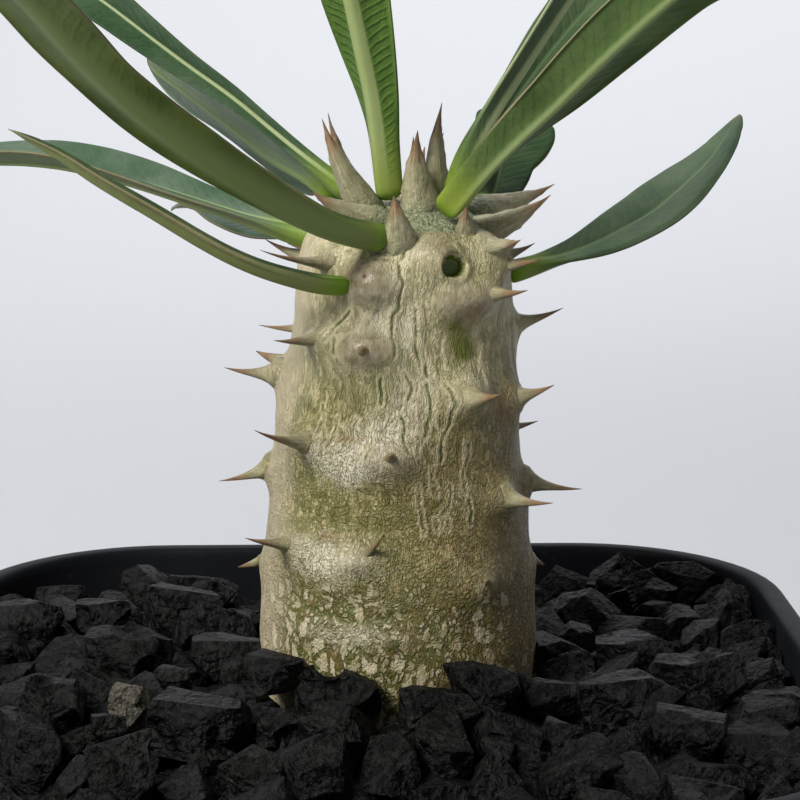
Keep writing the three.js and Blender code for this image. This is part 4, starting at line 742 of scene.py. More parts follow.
def make_stones():
    rand = np.random.RandomState(20451)
    fixed = []
    # the larger stones, from the solids of the part
    for i in range(len(STONES)):
        key, x, y, z, sx, sy, sz = STONES[i]
        rr = (sx * sy * sz) ** (1 / 3) / 2
        if sx > 1.35 * sz:
            fixed += [(x - sx * 0.22, y, z, rr * 0.85), (x + sx * 0.22, y, z, rr * 0.85)]
        else:
            fixed.append((x, y, z, rr))
        name = "stone_%02d" % (i + 1)
        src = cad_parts[name]
        bm = bmesh.new()
        bm.from_mesh(src.data)
        bmesh.ops.scale(bm, vec=(1000, 1000, 1000), verts=bm.verts)
        v, f, e = worn(bm, 0.12, 1, 4, rand, 0.045, 5, 0.42)
        ob = make_mesh("crushed_" + name, v, f, True, {"edge": e, "tint": np.full(len(v), rand.uniform(0.15, 0.75) if key != "b" else 1.0)})
        soften(ob)
        wear(ob, STONE_MAT)
        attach(ob, "root")
        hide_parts(name)
    # the rest of the bed
    p, r = settle(rand, fixed)
    shapes = []
    for k in range(36):
        semi = np.array([1.36, 1.04, 0.80]) * rand.uniform(0.86, 1.16, 3)
        bm = polyhedron(rand, int(rand.randint(6, 11)), semi)
        shapes.append(worn(bm, 0.035, 1, 2, rand, 0.020, 4, 0.36))
    order = np.argsort(p[:, 1])
    half_way = len(order) * 9 // 20
    for name, chosen in (("crushed_stone_front", order[:half_way]), ("crushed_stone_back", order[half_way:])):
        bed(name, p, r, chosen, shapes, rand)
    # the shaded lower grains, as one uneven sheet under the loose ones
    n = 90
    g = np.linspace(-1, 1, n)
    half = inner_half(72) - 0.4
    X, Y = np.meshgrid(g * half, g * half)
    rad = inner_r(72)
    c = half - rad
    qx, qy = np.clip(np.abs(X) - c, 0, None), np.clip(np.abs(Y) - c, 0, None)
    L = np.hypot(qx, qy)
    sc = np.where(L > rad, rad / np.maximum(L, 1e-6), 1)
    X = np.sign(X) * (np.minimum(np.abs(X), c) + qx * sc)
    Y = np.sign(Y) * (np.minimum(np.abs(Y), c) + qy * sc)
    rs = np.random.RandomState(5)
    ce = rs.uniform(-half, half, (520, 2))
    ch = rs.uniform(-1.2, 0.9, 520)
    d2 = (X[..., None] - ce[:, 0]) ** 2 + (Y[..., None] - ce[:, 1]) ** 2
    k = d2.argmin(-1)
    Z = 73.6 + ch[k] - 0.10 * d2.min(-1)
    v = np.stack([X, Y, Z], -1).reshape(-1, 3)
    low = v.copy()
    low[:, 2] = 67.0
    f = grid_faces(n, n, False)
    m = len(v)
    fs = f.tolist() + (f[:, ::-1] + m).tolist()
    ring = [i for i in range(n)] + [i * n + n - 1 for i in range(1, n)] + [(n - 1) * n + i for i in range(n - 2, -1, -1)] + [i * n for i in range(n - 2, 0, -1)]
    for a in range(len(ring)):
        b = (a + 1) % len(ring)
        fs.append([ring[a], ring[a] + m, ring[b] + m, ring[b]])
    ob = make_mesh("crushed_stone_under", np.concatenate([v, low]), fs, False, {"edge": np.zeros(2 * m), "tint": np.full(2 * m, 0.2)})
    wear(ob, STONE_MAT)
    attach(ob, "root")
    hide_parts("gravel_layer")


def soften(ob, angle=28):
    """Flat facets stay flat, worn edges shade smoothly."""
    me = ob.data
    bm = bmesh.new()
    bm.from_mesh(me)
    lim = math.radians(angle)
    for e in bm.edges:
        e.smooth = not (len(e.link_faces) == 2 and e.calc_face_angle(0) > lim)
    bm.to_mesh(me)
    bm.free()


make_stones()


# ------------------------------------------------------------------ the stem
def lattice(seed, nu, nv):
    return np.random.RandomState(seed).uniform(-1, 1, (nv, nu))


def value_noise(u, v, seed, nu=64, nv=64):
    """Smooth noise of two coordinates, periodic in u with period nu."""
    g = lattice(seed, nu, nv)
    iu, iv = np.floor(u).astype(int), np.floor(v).astype(int)
    fu, fv = u - iu, v - iv
    fu, fv = fu * fu * (3 - 2 * fu), fv * fv * (3 - 2 * fv)
    a, b = g[iv % nv, iu % nu], g[iv % nv, (iu + 1) % nu]
    c, d = g[(iv + 1) % nv, iu % nu], g[(iv + 1) % nv, (iu + 1) % nu]
    return (a * (1 - fu) + b * fu) * (1 - fv) + (c * (1 - fu) + d * fu) * fv


def fbm(th, h, seed, cells, hscale, octaves=4, gain=0.5):
    """th in radians round the stem, h in millimetres up it."""
    out, amp = 0.0, 1.0
    for k in range(octaves):
        nu = cells * 2 ** k
        out = out + amp * value_noise((th / (2 * math.pi) % 1.0) * nu, h * hscale * 2 ** k + 13.7, seed + k, nu, 97)
        amp *= gain
    return out


def drift(h):
    return np.interp(h, STEM_DRIFT[:, 0], STEM_DRIFT[:, 1])


def near(th, h, t0, h0, st, sh, power=2.0, rad=11.5):
    """A soft spot on the bark: angle t0 in degrees, height h0; half sizes in millimetres."""
    d = ((th - math.radians(t0) + math.pi) % (2 * math.pi) - math.pi) * rad
    return np.exp(-(np.sqrt((d / st) ** 2 + ((h - h0) / sh) ** 2) ** power) * 0.7)


def reach(th, h, pts, rad=11.5):
    """Distance in millimetres to a line through points (angle in degrees, height)."""
    best = np.full(np.shape(th), 1e9)
    x = ((th + math.pi) % (2 * math.pi) - math.pi) * rad
    for (a0, h0), (a1, h1) in zip(pts[:-1], pts[1:]):
        x0, x1 = math.radians(a0) * rad, math.radians(a1) * rad
        dx, dh = x1 - x0, h1 - h0
        t = np.clip(((x - x0) * dx + (h - h0) * dh) / (dx * dx + dh * dh), 0, 1)
        best = np.minimum(best, np.hypot(x - x0 - t * dx, h - h0 - t * dh))
    return best


HOLE = (22.6, 41.55)
CREASE = [(-60, 11.2), (-51, 10.3), (-40, 9.6), (-29, 9.2), (-17, 9.0), (-5, 9.4), (8, 10.2), (17, 10.0), (35, 10.6), (60, 10.4)]


def swell(bx, by, bz, tx, ty, tz, sr):
    """Height and relative width of the swelling that carries a thorn."""
    L = math.dist((bx, by, bz), (tx, ty, tz))
    size = sr / 1.3
    facing = max(0.0, (by - ty) / L) if by < STEM_Y - 6 else 0.0
    A = 1.0 * size * (1 + 0.30 * facing)
    if sr < 1.12 and L < 2.3 or L < 1.3:
        A *= 0.45
    elif facing > 0.6 and L < 2.9:
        A *= 0.80
    return A, size * (1 + 0.12 * facing)


def make_stem():
    # the profile as a smooth curve, by length along it
    P = STEM_PROFILE.copy()
    s = np.r_[0, np.cumsum(np.hypot(*np.diff(P, axis=0).T))]
    u = np.linspace(0, s[-1], 1600)
    r, h = np.interp(u, s, P[:, 1]), np.interp(u, s, P[:, 0])
    k = np.exp(-(np.arange(-60, 61) / 22.0) ** 2)
    k /= k.sum()
    pr = np.r_[2 * r[0] - r[60:0:-1], r, -r[-2:-62:-1]]
    ph = np.r_[2 * h[0] - h[60:0:-1], h, h[-2:-62:-1]]
    r, h = np.convolve(pr, k, "valid"), np.convolve(ph, k, "valid")
    r[-1] = 0.0
    u0 = np.interp(-5.0, h[:1200], u[:1200])
    rows_u = np.r_[np.linspace(0, u0, 18, endpoint=False), np.linspace(u0, u[-1], 232)]
    R, H = np.interp(rows_u, u, r), np.interp(rows_u, u, h)
    dR, dH = np.gradient(R, rows_u), np.gradient(H, rows_u)
    L = np.hypot(dR, dH) + 1e-9
    nR, nH = dH / L, -dR / L
    cols = 300
    t = np.arange(cols) / cols
    TH = 2 * math.pi * t - 0.58 * np.sin(2 * math.pi * t)
    th, hh = np.meshgrid(TH, H)
    rr = R[:, None] * np.ones_like(th)
    rs = np.maximum(rr, 4.0)
    above = smoothstep(hh, -3, 1)
    disp = 0.16 * fbm(th, hh, 3, 7, 0.10, 3) + 0.06 * fbm(th, hh, 40, 26, 0.30, 3)
    # swellings under the thorns: a broad one that fades downwards and a firm one round the foot
    plate = np.zeros_like(th)
    for bx, by, bz, tx, ty, tz, sr in SPINES:
        h0 = bz - GRAVEL_Z
        if h0 > 43.4:
            continue
        a = math.degrees(math.atan2(bx - STEM_X - drift(h0), -(by - STEM_Y)))
        A, w_ = swell(bx, by, bz, tx, ty, tz, sr)
        disp += A * near(th, hh, a, h0 - 0.15, 1.55 * w_, 1.22 * w_, 1.8) + 0.28 * near(th, hh, a, h0 - 1.1, 3.2, 2.3)
        plate = np.maximum(plate, near(th, hh, a, h0 - 0.1, 1.5 * w_, 1.2 * w_, 3.0))
    disp += 0.35 * near(th, hh, -17.6, 34.2, 2.35, 1.45, 5.0) + 0.62 * near(th, hh, -17.9, 40.1, 2.15, 2.1, 5.0)
    halo = np.exp(-((np.hypot(((th + math.radians(17.6)) * 10.9) / 2.45, (hh - 34.2) / 1.55) - 1.12) / 0.10) ** 2) * (np.cos(th + 0.3) > 0.5)
    halo = np.maximum(halo, 0.8 * np.exp(-((np.hypot(((th + math.radians(17.9)) * 10.9) / 2.25, (hh - 40.1) / 2.15) - 1.10) / 0.10) ** 2) * (np.cos(th + 0.3) > 0.5) * smoothstep(hh, 41.4, 39.6))
    disp -= 0.10 * halo
    disp += 0.55 * near(th, hh, 14.6, 42.2, 2.2, 1.7) + 0.35 * near(th, hh, 23.9, 38.6, 1.8, 1.3, 3.0)
    disp += 0.55 * near(th, hh, -31.9, 13.4, 3.4, 2.0) + 0.40 * near(th, hh, -22, 8.0, 4.6, 1.6)
    disp += 0.18 * near(th, hh, -22, 23.4, 3.0, 1.8)
    # the drawn-in rings between the yearly growths
    for h0, w0, k0 in ((27.4, 1.0, 0.12), (18.2, 1.1, 0.10), (35.8, 0.9, 0.08)):
        wob = 0.9 * fbm(th, hh * 0 + h0, 60 + int(h0), 6, 0.1, 2)
        disp -= k0 * np.exp(-((hh - h0 - wob) / w0) ** 2)
    crease = np.exp(-(reach(th, hh, CREASE) / 0.30) ** 2) * smoothstep((th + math.pi) % (2 * math.pi) - math.pi, 0.22, -0.12) * smoothstep((th + math.pi) % (2 * math.pi) - math.pi, -1.2, -0.9)
    crease *= np.clip(0.75 + 0.8 * fbm(th, hh, 97, 30, 0.6, 2), 0.2, 1)
    disp -= 0.20 * crease
    # upright ridges, strongest near the top
    top = smoothstep(hh, 24, 33) * smoothstep(hh, 46, 43)
    warp = 0.10 * fbm(th, hh, 90, 12, 0.16, 2)
    ridge = fbm(th + warp, hh, 110, 46, 0.085, 3, 0.55)
    calm = 1 - 0.8 * plate
    disp += (0.045 + 0.03 * top) * ridge * above * calm
    # traced cracks with raised lips, and pale raised ridges
    wth = th + 0.020 * fbm(th, hh, 131, 40, 0.75, 3)
    fis = np.zeros_like(th)
    lips = np.zeros_like(th)
    for i, pts in enumerate(FISSURES):
        d = reach(wth, hh, pts, rs)
        brk = np.clip(0.70 + 0.75 * fbm(th, hh, 300 + i, 30, 0.55, 2), 0, 1)
        fis = np.maximum(fis, np.exp(-(d / 0.115) ** 2) * brk)
        lips = np.maximum(lips, np.exp(-((d - 0.30) / 0.20) ** 2))
    for pts in RIDGES:
        lips = np.maximum(lips, 1.1 * np.exp(-(reach(wth, hh, pts, rs) / 0.26) ** 2))
    disp += 0.085 * lips * (1 - fis) - 0.055 * fis
    # the open leaf scar
    dh = np.hypot(((th - math.radians(HOLE[0])) * 10.3) / 1.10, (hh - HOLE[1]) / 0.88)
    dh = np.where(np.cos(th - math.radians(HOLE[0])) > 0.3, dh, 9.0)
    disp += 0.30 * np.exp(-((dh - 1.25) / 0.45) ** 2)
    disp = disp * (1 - 0.7 * smoothstep(dh, 1.25, 0.85)) - 0.42 * smoothstep(dh, 1.10, 0.92)
    scar = near(th, hh, 32.7, 37.5, 1.0, 1.0, 3.0)
    disp -= 0.20 * near(th, hh, 52.7, 27.9, 0.8, 0.8) - 0.15 * scar
    crown = smoothstep(hh, 43.6, 44.8) * smoothstep(rr, 9.3, 8.2)
    disp += crown * 0.35 * fbm(th, rr * 1.4, 150, 18, 0.5, 4)
    disp *= smoothstep(rr, 0.0, 2.5)
    Rn = rr + disp * nR[:, None]
    Hn = hh + disp * nH[:, None]
    x = STEM_X + drift(hh) + Rn * np.sin(th)
    y = STEM_Y - Rn * np.cos(th)
    z = GRAVEL_Z + Hn
    V = np.stack([x, y, z], -1).reshape(-1, 3)
    F = grid_faces(len(H), cols).tolist()
    m = len(V)
    V = np.concatenate([V, [[STEM_X, STEM_Y, z[0].mean() - 0.8]]])
    F += [(m, (i + 1) % cols, i) for i in range(cols)]
    # how much the cells of the skin are drawn out, summed up the stem
    hs = np.linspace(-26, 52, 1600)
    pull = np.interp(hs, [-26, 0, 13, 17, 21, 25, 32, 52], [0.80, 0.80, 0.78, 0.85, 0.62, 0.26, 0.17, 0.16])
    summed = np.r_[0, np.cumsum((pull[1:] + pull[:-1]) / 2 * np.diff(hs))]
    zt = np.interp(hh + 1.3 * fbm(th, hh, 210, 6, 0.06, 2), hs, summed)
    pull = np.interp(hs, [-26, 0, 10, 15, 21, 27, 52], [0.55, 0.55, 0.44, 0.32, 0.24, 0.17, 0.14])
    summed = np.r_[0, np.cumsum((pull[1:] + pull[:-1]) / 2 * np.diff(hs))]
    zv = np.interp(hh + 0.9 * fbm(th, hh, 220, 6, 0.06, 2), hs, summed)
    pale = np.clip(near(th, hh, -23, 23.4, 3.4, 1.9, 3) + 0.9 * near(th, hh, -31, 14.4, 3.6, 1.9) + 0.6 * near(th, hh, -22, 7.6, 4.4, 1.1)
                   + 0.55 * near(th, hh, -4, 40.6, 2.2, 1.8) + 0.5 * near(th, hh, 38, 30.5, 1.8, 1.2) + 0.6 * near(th, hh, 3, 29.0, 2.6, 4.2)
                   + 0.6 * near(th, hh, -12, 36.6, 1.6, 1.5) + 0.7 * near(th, hh, 1.5, 35.8, 0.8, 1.6) + 0.6 * near(th, hh, -12, 26.3, 3.0, 1.6)
                   + 0.55 * near(th, hh, -41, 24.8, 0.9, 0.7) + 0.4 * near(th, hh, 30, 20.6, 2.0, 1.0), 0, 1)
    green = np.clip(near(th, hh, 24.5, 36.3, 0.8, 0.7, 3) + near(th, hh, 28.1, 34.9, 1.15, 1.1, 3) + near(th, hh, 31.6, 33.6, 1.2, 0.9, 3)
                    + 0.30 * near(th, hh, -28, 27.5, 5, 3.5) + 0.35 * near(th, hh, 12, 19, 6, 5) + 0.35 * near(th, hh, -10, 31.5, 4, 2.5) + 0.3 * near(th, hh, 0, 5, 9, 4), 0, 1)
    brown = np.clip(1.6 * scar + 0.8 * near(th, hh, -20.5, 40.8, 1.1, 0.9) + near(th, hh, 52.7, 27.9, 1.2, 1.0) + 0.5 * near(th, hh, -18.0, 34.3, 1.7, 1.0, 3) + 0.5 * near(th, hh, -25, 41.0, 1.0, 0.8)
                    + 0.8 * near(th, hh, -24, 25.9, 1.0, 0.35) + 0.7 * near(th, hh, -30, 16.6, 1.1, 0.4) + 0.35 * near(th, hh, 50, 5, 8, 5.5)
                    + 0.45 * near(th, hh, 22, 23.5, 5, 3.5) + 0.35 * near(th, hh, 14.6, 43.3, 0.9, 0.9) + 0.4 * near(th, hh, 30, 16, 6, 3), 0, 1)
    mauve = np.clip(0.75 * plate + 0.9 * near(th, hh, -18.0, 34.14, 2.1, 1.25, 4) + 0.8 * near(th, hh, -17.9, 40.1, 1.9, 1.8, 4) + 0.5 * near(th, hh, 26, 38.2, 2.4, 1.2), 0, 1)
    one = lambda a: np.r_[np.asarray(a, float).ravel(), 0.0]
    at = {"height": one(hh), "pale": one(pale), "green": one(green), "brown": one(brown), "crack": one(np.maximum(np.maximum(fis, 0.50 * crease), 0.62 * halo * np.where(hh > 37, 0.7, smoothstep(hh, 35.6, 33.6)))),
          "hole": one(smoothstep(dh, 1.12, 0.92)), "crown": one(crown), "ridge": one(ridge * 0.5 + 0.5), "tip": one(np.zeros_like(hh)), "thorn": one(np.zeros_like(hh)),
          "zt": one(zt), "zv": one(zv), "lips": one(np.clip(lips, 0, 1)), "mauve": one(mauve), "round": one((th + math.pi) % (2 * math.pi) - math.pi)}
    parts = [(V, F, at)]
    for i, sp in enumerate(SPINES):
        parts.append(thorn(i, sp, list(at)))
    V, F, A, base = [], [], {k2: [] for k2 in at}, 0
    for v, f, a in parts:
        V.append(v)
        F += [[j + base for j in face] for face in f]
        base += len(v)
        for k2 in A:
            A[k2].append(a[k2])
    ob = make_mesh("stem_bark", np.concatenate(V), F, True, {k2: np.concatenate(A[k2]) for k2 in A})
    wear(ob, bark_material())
    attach(ob, "root")
    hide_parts("stem")
    return ob


def thorn(i, sp, keys):
    """One thorn: a flared foot, a slender curved body and a fine tip."""
    rs = np.random.RandomState(700 + i)
    b, t, r0 = np.array(sp[:3]), np.array(sp[3:6]), sp[6]
    if b[2] - GRAVEL_Z < 43.4:
        A, w_ = swell(*sp)
        out = b - np.array([STEM_X, STEM_Y, b[2]])
        out /= np.linalg.norm(out)
        b = b + 0.35 * A * out
        if np.linalg.norm(t - b) < 3.2:
            t = t + 0.50 * A * out
        r0 = r0 * (0.92 if np.linalg.norm(t - b) > 3.2 else 0.62)
    L = np.linalg.norm(t - b)
    d = (t - b) / L
    nub = b[2] - GRAVEL_Z < 43.4 and b[1] < STEM_Y - 6 and d[1] < -0.62 and L < 2.9
    h0 = b[2] - GRAVEL_Z
    crown = h0 > 43.0 and L > 3.9
    around, n = (22, 17) if crown else (18, 15)
    up = np.array([0, 0, 1.0])
    side = np.cross(d, up)
    if np.linalg.norm(side) < 0.35:
        side = np.cross(d, np.array([-(b[1] - STEM_Y), b[0] - STEM_X, 0.0]))
        side = np.cross(side, d)
    side /= np.linalg.norm(side)
    upv = np.cross(side, d)
    sunk = 1.3 if not crown else 1.6
    s = np.r_[-sunk, -0.5 * sunk, np.linspace(0, 1, n - 2) ** 0.9 * L]
    T = np.clip(s / L, 0, 1)
    if crown:
        rad = r0 * 1.20 * (0.93 * (1 - T ** 1.22) * (1 - 0.30 * smoothstep(T, 0.55, 0.95)) + 0.07 * (1 - T)) + 0.03
        rad[:2] = r0 * 1.25
        flat = 0.62
        bend = (0.09 * L) * (T ** 2 - T) * rs.choice([-1, 1])
        lift = (0.20 * L) * (T ** 2 - T)
    else:
        rad = r0 * (0.56 * (1 - T) ** 1.02 + 0.80 * np.exp(-T / 0.17)) + 0.022
        if L < 3.6:
            rad = r0 * (0.80 * (1 - T ** 1.6) + 0.30 * np.exp(-T / 0.14)) * (0.85 if L > 1.5 else 0.8) + 0.03
        if nub:
            rad = r0 * (0.50 * np.sqrt(np.clip(1 - T ** 1.3, 0, 1)) + 0.80 * np.exp(-T / 0.26) - 0.80 * math.exp(-1 / 0.26) * T) + 0.02
        rad[:2] = rad[2] * np.array([1.35, 1.15])
        flat = 0.84
        bend = 0.05 * L * (T ** 2 - T) * rs.uniform(-1, 1)
        lift = 0.16 * L * (T ** 2 - T)
    c = b + d * s[:, None] + side * bend[:, None] + upv * lift[:, None]
    a = np.arange(around) / around * 2 * math.pi
    ridged = 1 + (0.07 if crown else 0.03) * np.cos(3 * a + rs.uniform(0, 6))
    V = c[:, None] + (side * np.cos(a)[:, None] * ridged[:, None])[None] * rad[:, None, None] + (upv * np.sin(a)[:, None] * ridged[:, None])[None] * (rad * (flat + (1 - flat) * 0.3 * (1 - T)))[:, None, None]
    if crown:
        w = 0.05 * rs.normal(size=V.shape[:2])
        V = V + (side * np.cos(a)[:, None] + upv * np.sin(a)[:, None])[None] * (w * (rad > 0.3)[:, None])[..., None]
    V = V.reshape(-1, 3)
    m = len(V)
    F = grid_faces(n, around)[:, ::-1].tolist()
    V = np.concatenate([V, [c[-1] + d * 0.06, c[0]]])
    F += [(m, (n - 1) * around + (k + 1) % around, (n - 1) * around + k) for k in range(around)]
    F += [(m + 1, k, (k + 1) % around) for k in range(around)]
    tt = np.r_[np.repeat(T, around), 1.0, 0.0]
    A = {k: np.zeros(len(V)) for k in keys}
    A["height"][:] = h0
    A["tip"] = tt * (1.0 if L > 3.0 else 0.93) - (0.27 * (1 - tt ** 4) if crown else 0.08 * (1 - tt))
    A["mauve"][:] = 0.6
    A["thorn"] = np.r_[np.repeat(smoothstep(T, 0.0, 0.22) if crown else 0.85 * smoothstep(T, 0.25, 1.05) if nub else smoothstep(T, 0.02, 0.38), around), 1.0, 0.0]
    if nub:
        A["tip"] = np.minimum(A["tip"], 0.80)
    A["zt"] = V[:, 2] * 0.4
    A["zv"] = V[:, 2] * 0.2
    A["crown"][:] = (0.6 if crown else 0.0) * (1 - tt)
    A["ridge"] = 0.5 + 0.5 * np.sin(np.r_[np.tile(a * 5, n), 0, 0])
    return V, F, A


def bark_material():
    n = Nodes("living_bark")
    p = n.pos()
    px, py, pz = n.xyz(p)
    h, zt = n.attr("height"), n.attr("zt")
    tip, thorn_, crown = n.attr("tip"), n.attr("thorn"), n.attr("crown")
    wob = n.v("SUBTRACT", n.noise(p, 0.33, 2.0, 0.5, True), (0.5, 0.5, 0.5))
    wav = n.v("SUBTRACT", n.noise(n.v("MULTIPLY", p, (1.0, 1.0, 0.8)), 0.85, 2.0, 0.55, True), (0.5, 0.5, 0.5))
    fine = n.v("SUBTRACT", n.noise(p, 2.6, 2.0, 0.5, True), (0.5, 0.5, 0.5))
    q = n.v("ADD", n.join(px, py, zt), n.v("SCALE", wob, scale=1.6))
    q = n.v("ADD", q, n.v("MULTIPLY", wav, (0.85, 0.85, 0.25)))
    q = n.v("ADD", q, n.v("MULTIPLY", fine, (0.18, 0.18, 0.12)))
    hm = n.m("ADD", h, n.m("MULTIPLY", n.m("SUBTRACT", n.noise(p, 0.24, 3.0, 0.55), 0.5), 8.0))
    top = n.step(hm, 26.0, 34.0)
    low = n.step(hm, 14.5, 9.5)
    # narrow upright strands
    qv = n.v("ADD", n.join(px, py, n.attr("zv")), n.v("SCALE", wob, scale=1.5))
    qv = n.v("ADD", qv, n.v("MULTIPLY", wav, (0.60, 0.60, 0.16)))
    qv = n.v("ADD", qv, n.v("MULTIPLY", fine, (0.16, 0.16, 0.08)))
    e_v = n.m("MULTIPLY", n.m("ABSOLUTE", n.m("SUBTRACT", n.noise(qv, 3.0, 1.4, 0.45), 0.5)), 2.4)
    tone = n.noise(qv, 1.25, 4.0, 0.68)
    # cross wrinkles that turn the strands into a mesh lower down
    qh = n.v("ADD", n.v("MULTIPLY", p, (0.42, 0.42, 1.0)), n.v("SCALE", wav, scale=0.45))
    qh = n.v("ADD", qh, n.v("SCALE", fine, scale=0.20))
    e_h = n.m("MULTIPLY", n.m("ABSOLUTE", n.m("SUBTRACT", n.noise(qh, 2.5, 1.2, 0.45), 0.5)), 2.4)
    mesh = n.step(hm, 27.5, 22.0)
    # plates low on the stem
    qc = n.v("ADD", n.join(px, py, n.m("MULTIPLY", zt, 0.88)), n.v("ADD", n.v("SCALE", wob, scale=1.2), n.v("ADD", n.v("SCALE", wav, scale=0.60), n.v("SCALE", fine, scale=0.40))))
    e_c = n.voro(qc, 0.82, "DISTANCE_TO_EDGE")
    c_c = n.xyz(n.voro(qc, 0.82, out="Color"))
    qs = n.v("ADD", n.join(px, py, zt), n.v("ADD", n.v("SCALE", wob, scale=1.4), n.v("ADD", n.v("SCALE", wav, scale=0.45), n.v("SCALE", fine, scale=0.17))))
    e_s = n.voro(qs, 2.15, "DISTANCE_TO_EDGE")
    c_s = n.xyz(n.voro(qs, 2.15, out="Color"))
    worm = n.noise(n.v("MULTIPLY", q, (1.0, 1.0, 0.9)), 3.3, 2.0, 0.5)
    streak = n.noise(q, 1.2, 4.0, 0.6)
    mott = n.noise(p, 0.30, 4.0, 0.55)
    mott2 = n.noise(n.v("ADD", p, (31.0, 7.0, 3.0)), 0.42, 3.0, 0.55)
    patch = n.noise(n.v("ADD", p, (3.0, 17.0, 9.0)), 0.75, 3.0, 0.6)
    grain = n.noise(n.v("MULTIPLY", p, (1.0, 1.0, 0.6)), 5.2, 3.0, 0.6)
    gap_olive, ridge_a, ridge_b = (0.080, 0.084, 0.012), (0.210, 0.190, 0.062), (0.440, 0.375, 0.175)
    # middle: narrow upright ridges with green gaps
    rnd = n.attr("round")
    col_mid = n.mix(n.step(tone, 0.36, 0.62), ridge_a, ridge_b)
    gap_v = n.m("MULTIPLY", n.step(n.m("SUBTRACT", e_v, n.m("MULTIPLY", mott2, 0.13)), 0.05, -0.05), n.step(patch, 0.34, 0.50))
    gap_h = n.m("MULTIPLY", n.m("MULTIPLY", n.step(n.m("SUBTRACT", e_h, n.m("MULTIPLY", mott2, 0.12)), 0.05, -0.05), n.step(mott, 0.40, 0.55)), mesh)
    gap = n.m("MAXIMUM", gap_v, n.m("MULTIPLY", gap_h, 0.85))
    scale_t = n.m("ADD", n.m("MULTIPLY", c_s[1], 0.55), n.m("MULTIPLY", tone, 0.75))
    scaly = n.mix(n.step(scale_t, 0.40, 0.90), (0.150, 0.140, 0.036), (0.470, 0.405, 0.205))
    col_mid = n.mix(0.60, col_mid, scaly)
    seam = n.m("MULTIPLY", n.step(n.m("SUBTRACT", e_s, n.m("MULTIPLY", mott2, 0.20)), 0.06, -0.04), n.step(patch, 0.36, 0.48))
    gap = n.m("MAXIMUM", gap, n.m("MULTIPLY", seam, 0.90))
    col_mid = n.mix(n.m("MULTIPLY", gap, 0.80), col_mid, gap_olive)
    # top: smoother, finely wrinkled
    col_top = n.mix(n.step(tone, 0.36, 0.62), (0.280, 0.258, 0.122), (0.525, 0.460, 0.282))
    col_top = n.mix(n.m("MULTIPLY", n.step(worm, 0.58, 0.70), 0.35), col_top, (0.200, 0.185, 0.085))
    col_top = n.mix(n.m("MULTIPLY", n.m("MAXIMUM", gap_v, n.m("MULTIPLY", seam, 0.8)), 0.55), col_top, (0.115, 0.120, 0.036))
    # low: cream plates on green and brown
    few = n.m("ADD", n.m("MULTIPLY", n.m("MULTIPLY", n.step(rnd, 0.15, 0.9), n.step(rnd, 2.8, 1.7)), 0.22), n.m("MULTIPLY", h, 0.030))
    sel = n.m("SUBTRACT", n.m("ADD", n.m("MULTIPLY", c_c[0], 0.55), n.m("MULTIPLY", patch, 0.9)), few)
    gap_c = n.m("ADD", 0.03, n.m("MULTIPLY", mott2, 0.22))
    plate = n.m("MULTIPLY", n.step(n.m("SUBTRACT", e_c, gap_c), -0.02, 0.045), n.step(sel, 0.31, 0.39))
    sel_s = n.m("SUBTRACT", n.m("ADD", n.m("MULTIPLY", c_s[0], 0.60), n.m("MULTIPLY", patch, 0.9)), n.m("MULTIPLY", h, 0.012))
    small = n.m("MULTIPLY", n.step(n.m("SUBTRACT", e_s, n.m("MULTIPLY", mott2, 0.34)), -0.04, 0.07), n.step(sel_s, 0.58, 0.74))
    plate = n.m("MAXIMUM", plate, n.m("MULTIPLY", small, 0.80))
    ground = n.mix(n.step(mott2, 0.40, 0.60), (0.060, 0.074, 0.008), (0.120, 0.080, 0.018))
    ground = n.mix(n.m("MULTIPLY", n.step(worm, 0.46, 0.64), 0.40), ground, (0.205, 0.178, 0.066))
    ground = n.mix(n.m("MULTIPLY", n.m("MAXIMUM", seam, gap_h), 0.60), ground, (0.045, 0.052, 0.008))
    col_low = n.mix(plate, ground, n.mix(n.step(n.m("ADD", n.m("MULTIPLY", grain, 0.7), n.m("MULTIPLY", c_c[1], 0.35)), 0.30, 0.70), (0.300, 0.255, 0.130), (0.57, 0.505, 0.345)))
    col = n.mix(top, col_mid, col_top)
    col = n.mix(low, col, col_low)
    # broad greener clouds; browner and darker low on the right and back, real brown colouring with painted shade; paler
    # all down the left and back-left, painted light on the lamp-lit side
    col = n.mix(n.m("MULTIPLY", n.step(mott, 0.50, 0.66), 0.45), col, (0.150, 0.150, 0.038))
    # real brown colouring with painted shade: the right and back turn browner and darker towards the bottom
    col = n.mix(n.m("MULTIPLY", n.m("MULTIPLY", n.m("MULTIPLY", n.step(rnd, 0.45, 1.2), n.step(rnd, 2.8, 1.7)), n.step(h, 40.0, 22.0)), 0.55), col, n.mix(n.step(e_v, 0.03, 0.2), (0.062, 0.040, 0.012), (0.285, 0.200, 0.090)))
    # painted light: the left and back-left, which the lamps light, are paler
    col = n.mix(n.m("MULTIPLY", n.m("MULTIPLY", n.step(rnd, -0.80, -1.20), n.step(rnd, -2.8, -1.7)), 0.62), col, (0.50, 0.425, 0.290))
    pale = n.attr("pale")
    col = n.mix(n.m("MULTIPLY", n.m("MULTIPLY", pale, n.step(n.m("ADD", streak, n.m("MULTIPLY", pale, 0.35)), 0.46, 0.74)), n.step(n.m("MINIMUM", e_v, n.m("ADD", e_h, 0.05)), 0.0, 0.12)), col, (0.66, 0.61, 0.47))
    green = n.attr("green")
    col = n.mix(n.m("MULTIPLY", green, n.step(n.m("ADD", n.noise(p, 1.3, 3.0, 0.6), n.m("MULTIPLY", green, 0.3)), 0.40, 0.70)), col, (0.105, 0.112, 0.012))
    bm = n.attr("brown")
    col = n.mix(n.m("MULTIPLY", bm, n.step(n.noise(p, 1.6, 4.0, 0.65), 0.28, 0.60)), col, (0.235, 0.135, 0.060))
    lips = n.attr("lips")
    col = n.mix(n.m("MULTIPLY", n.step(lips, 0.35, 0.95), 0.60), col, (0.52, 0.455, 0.285))
    crack = n.attr("crack")
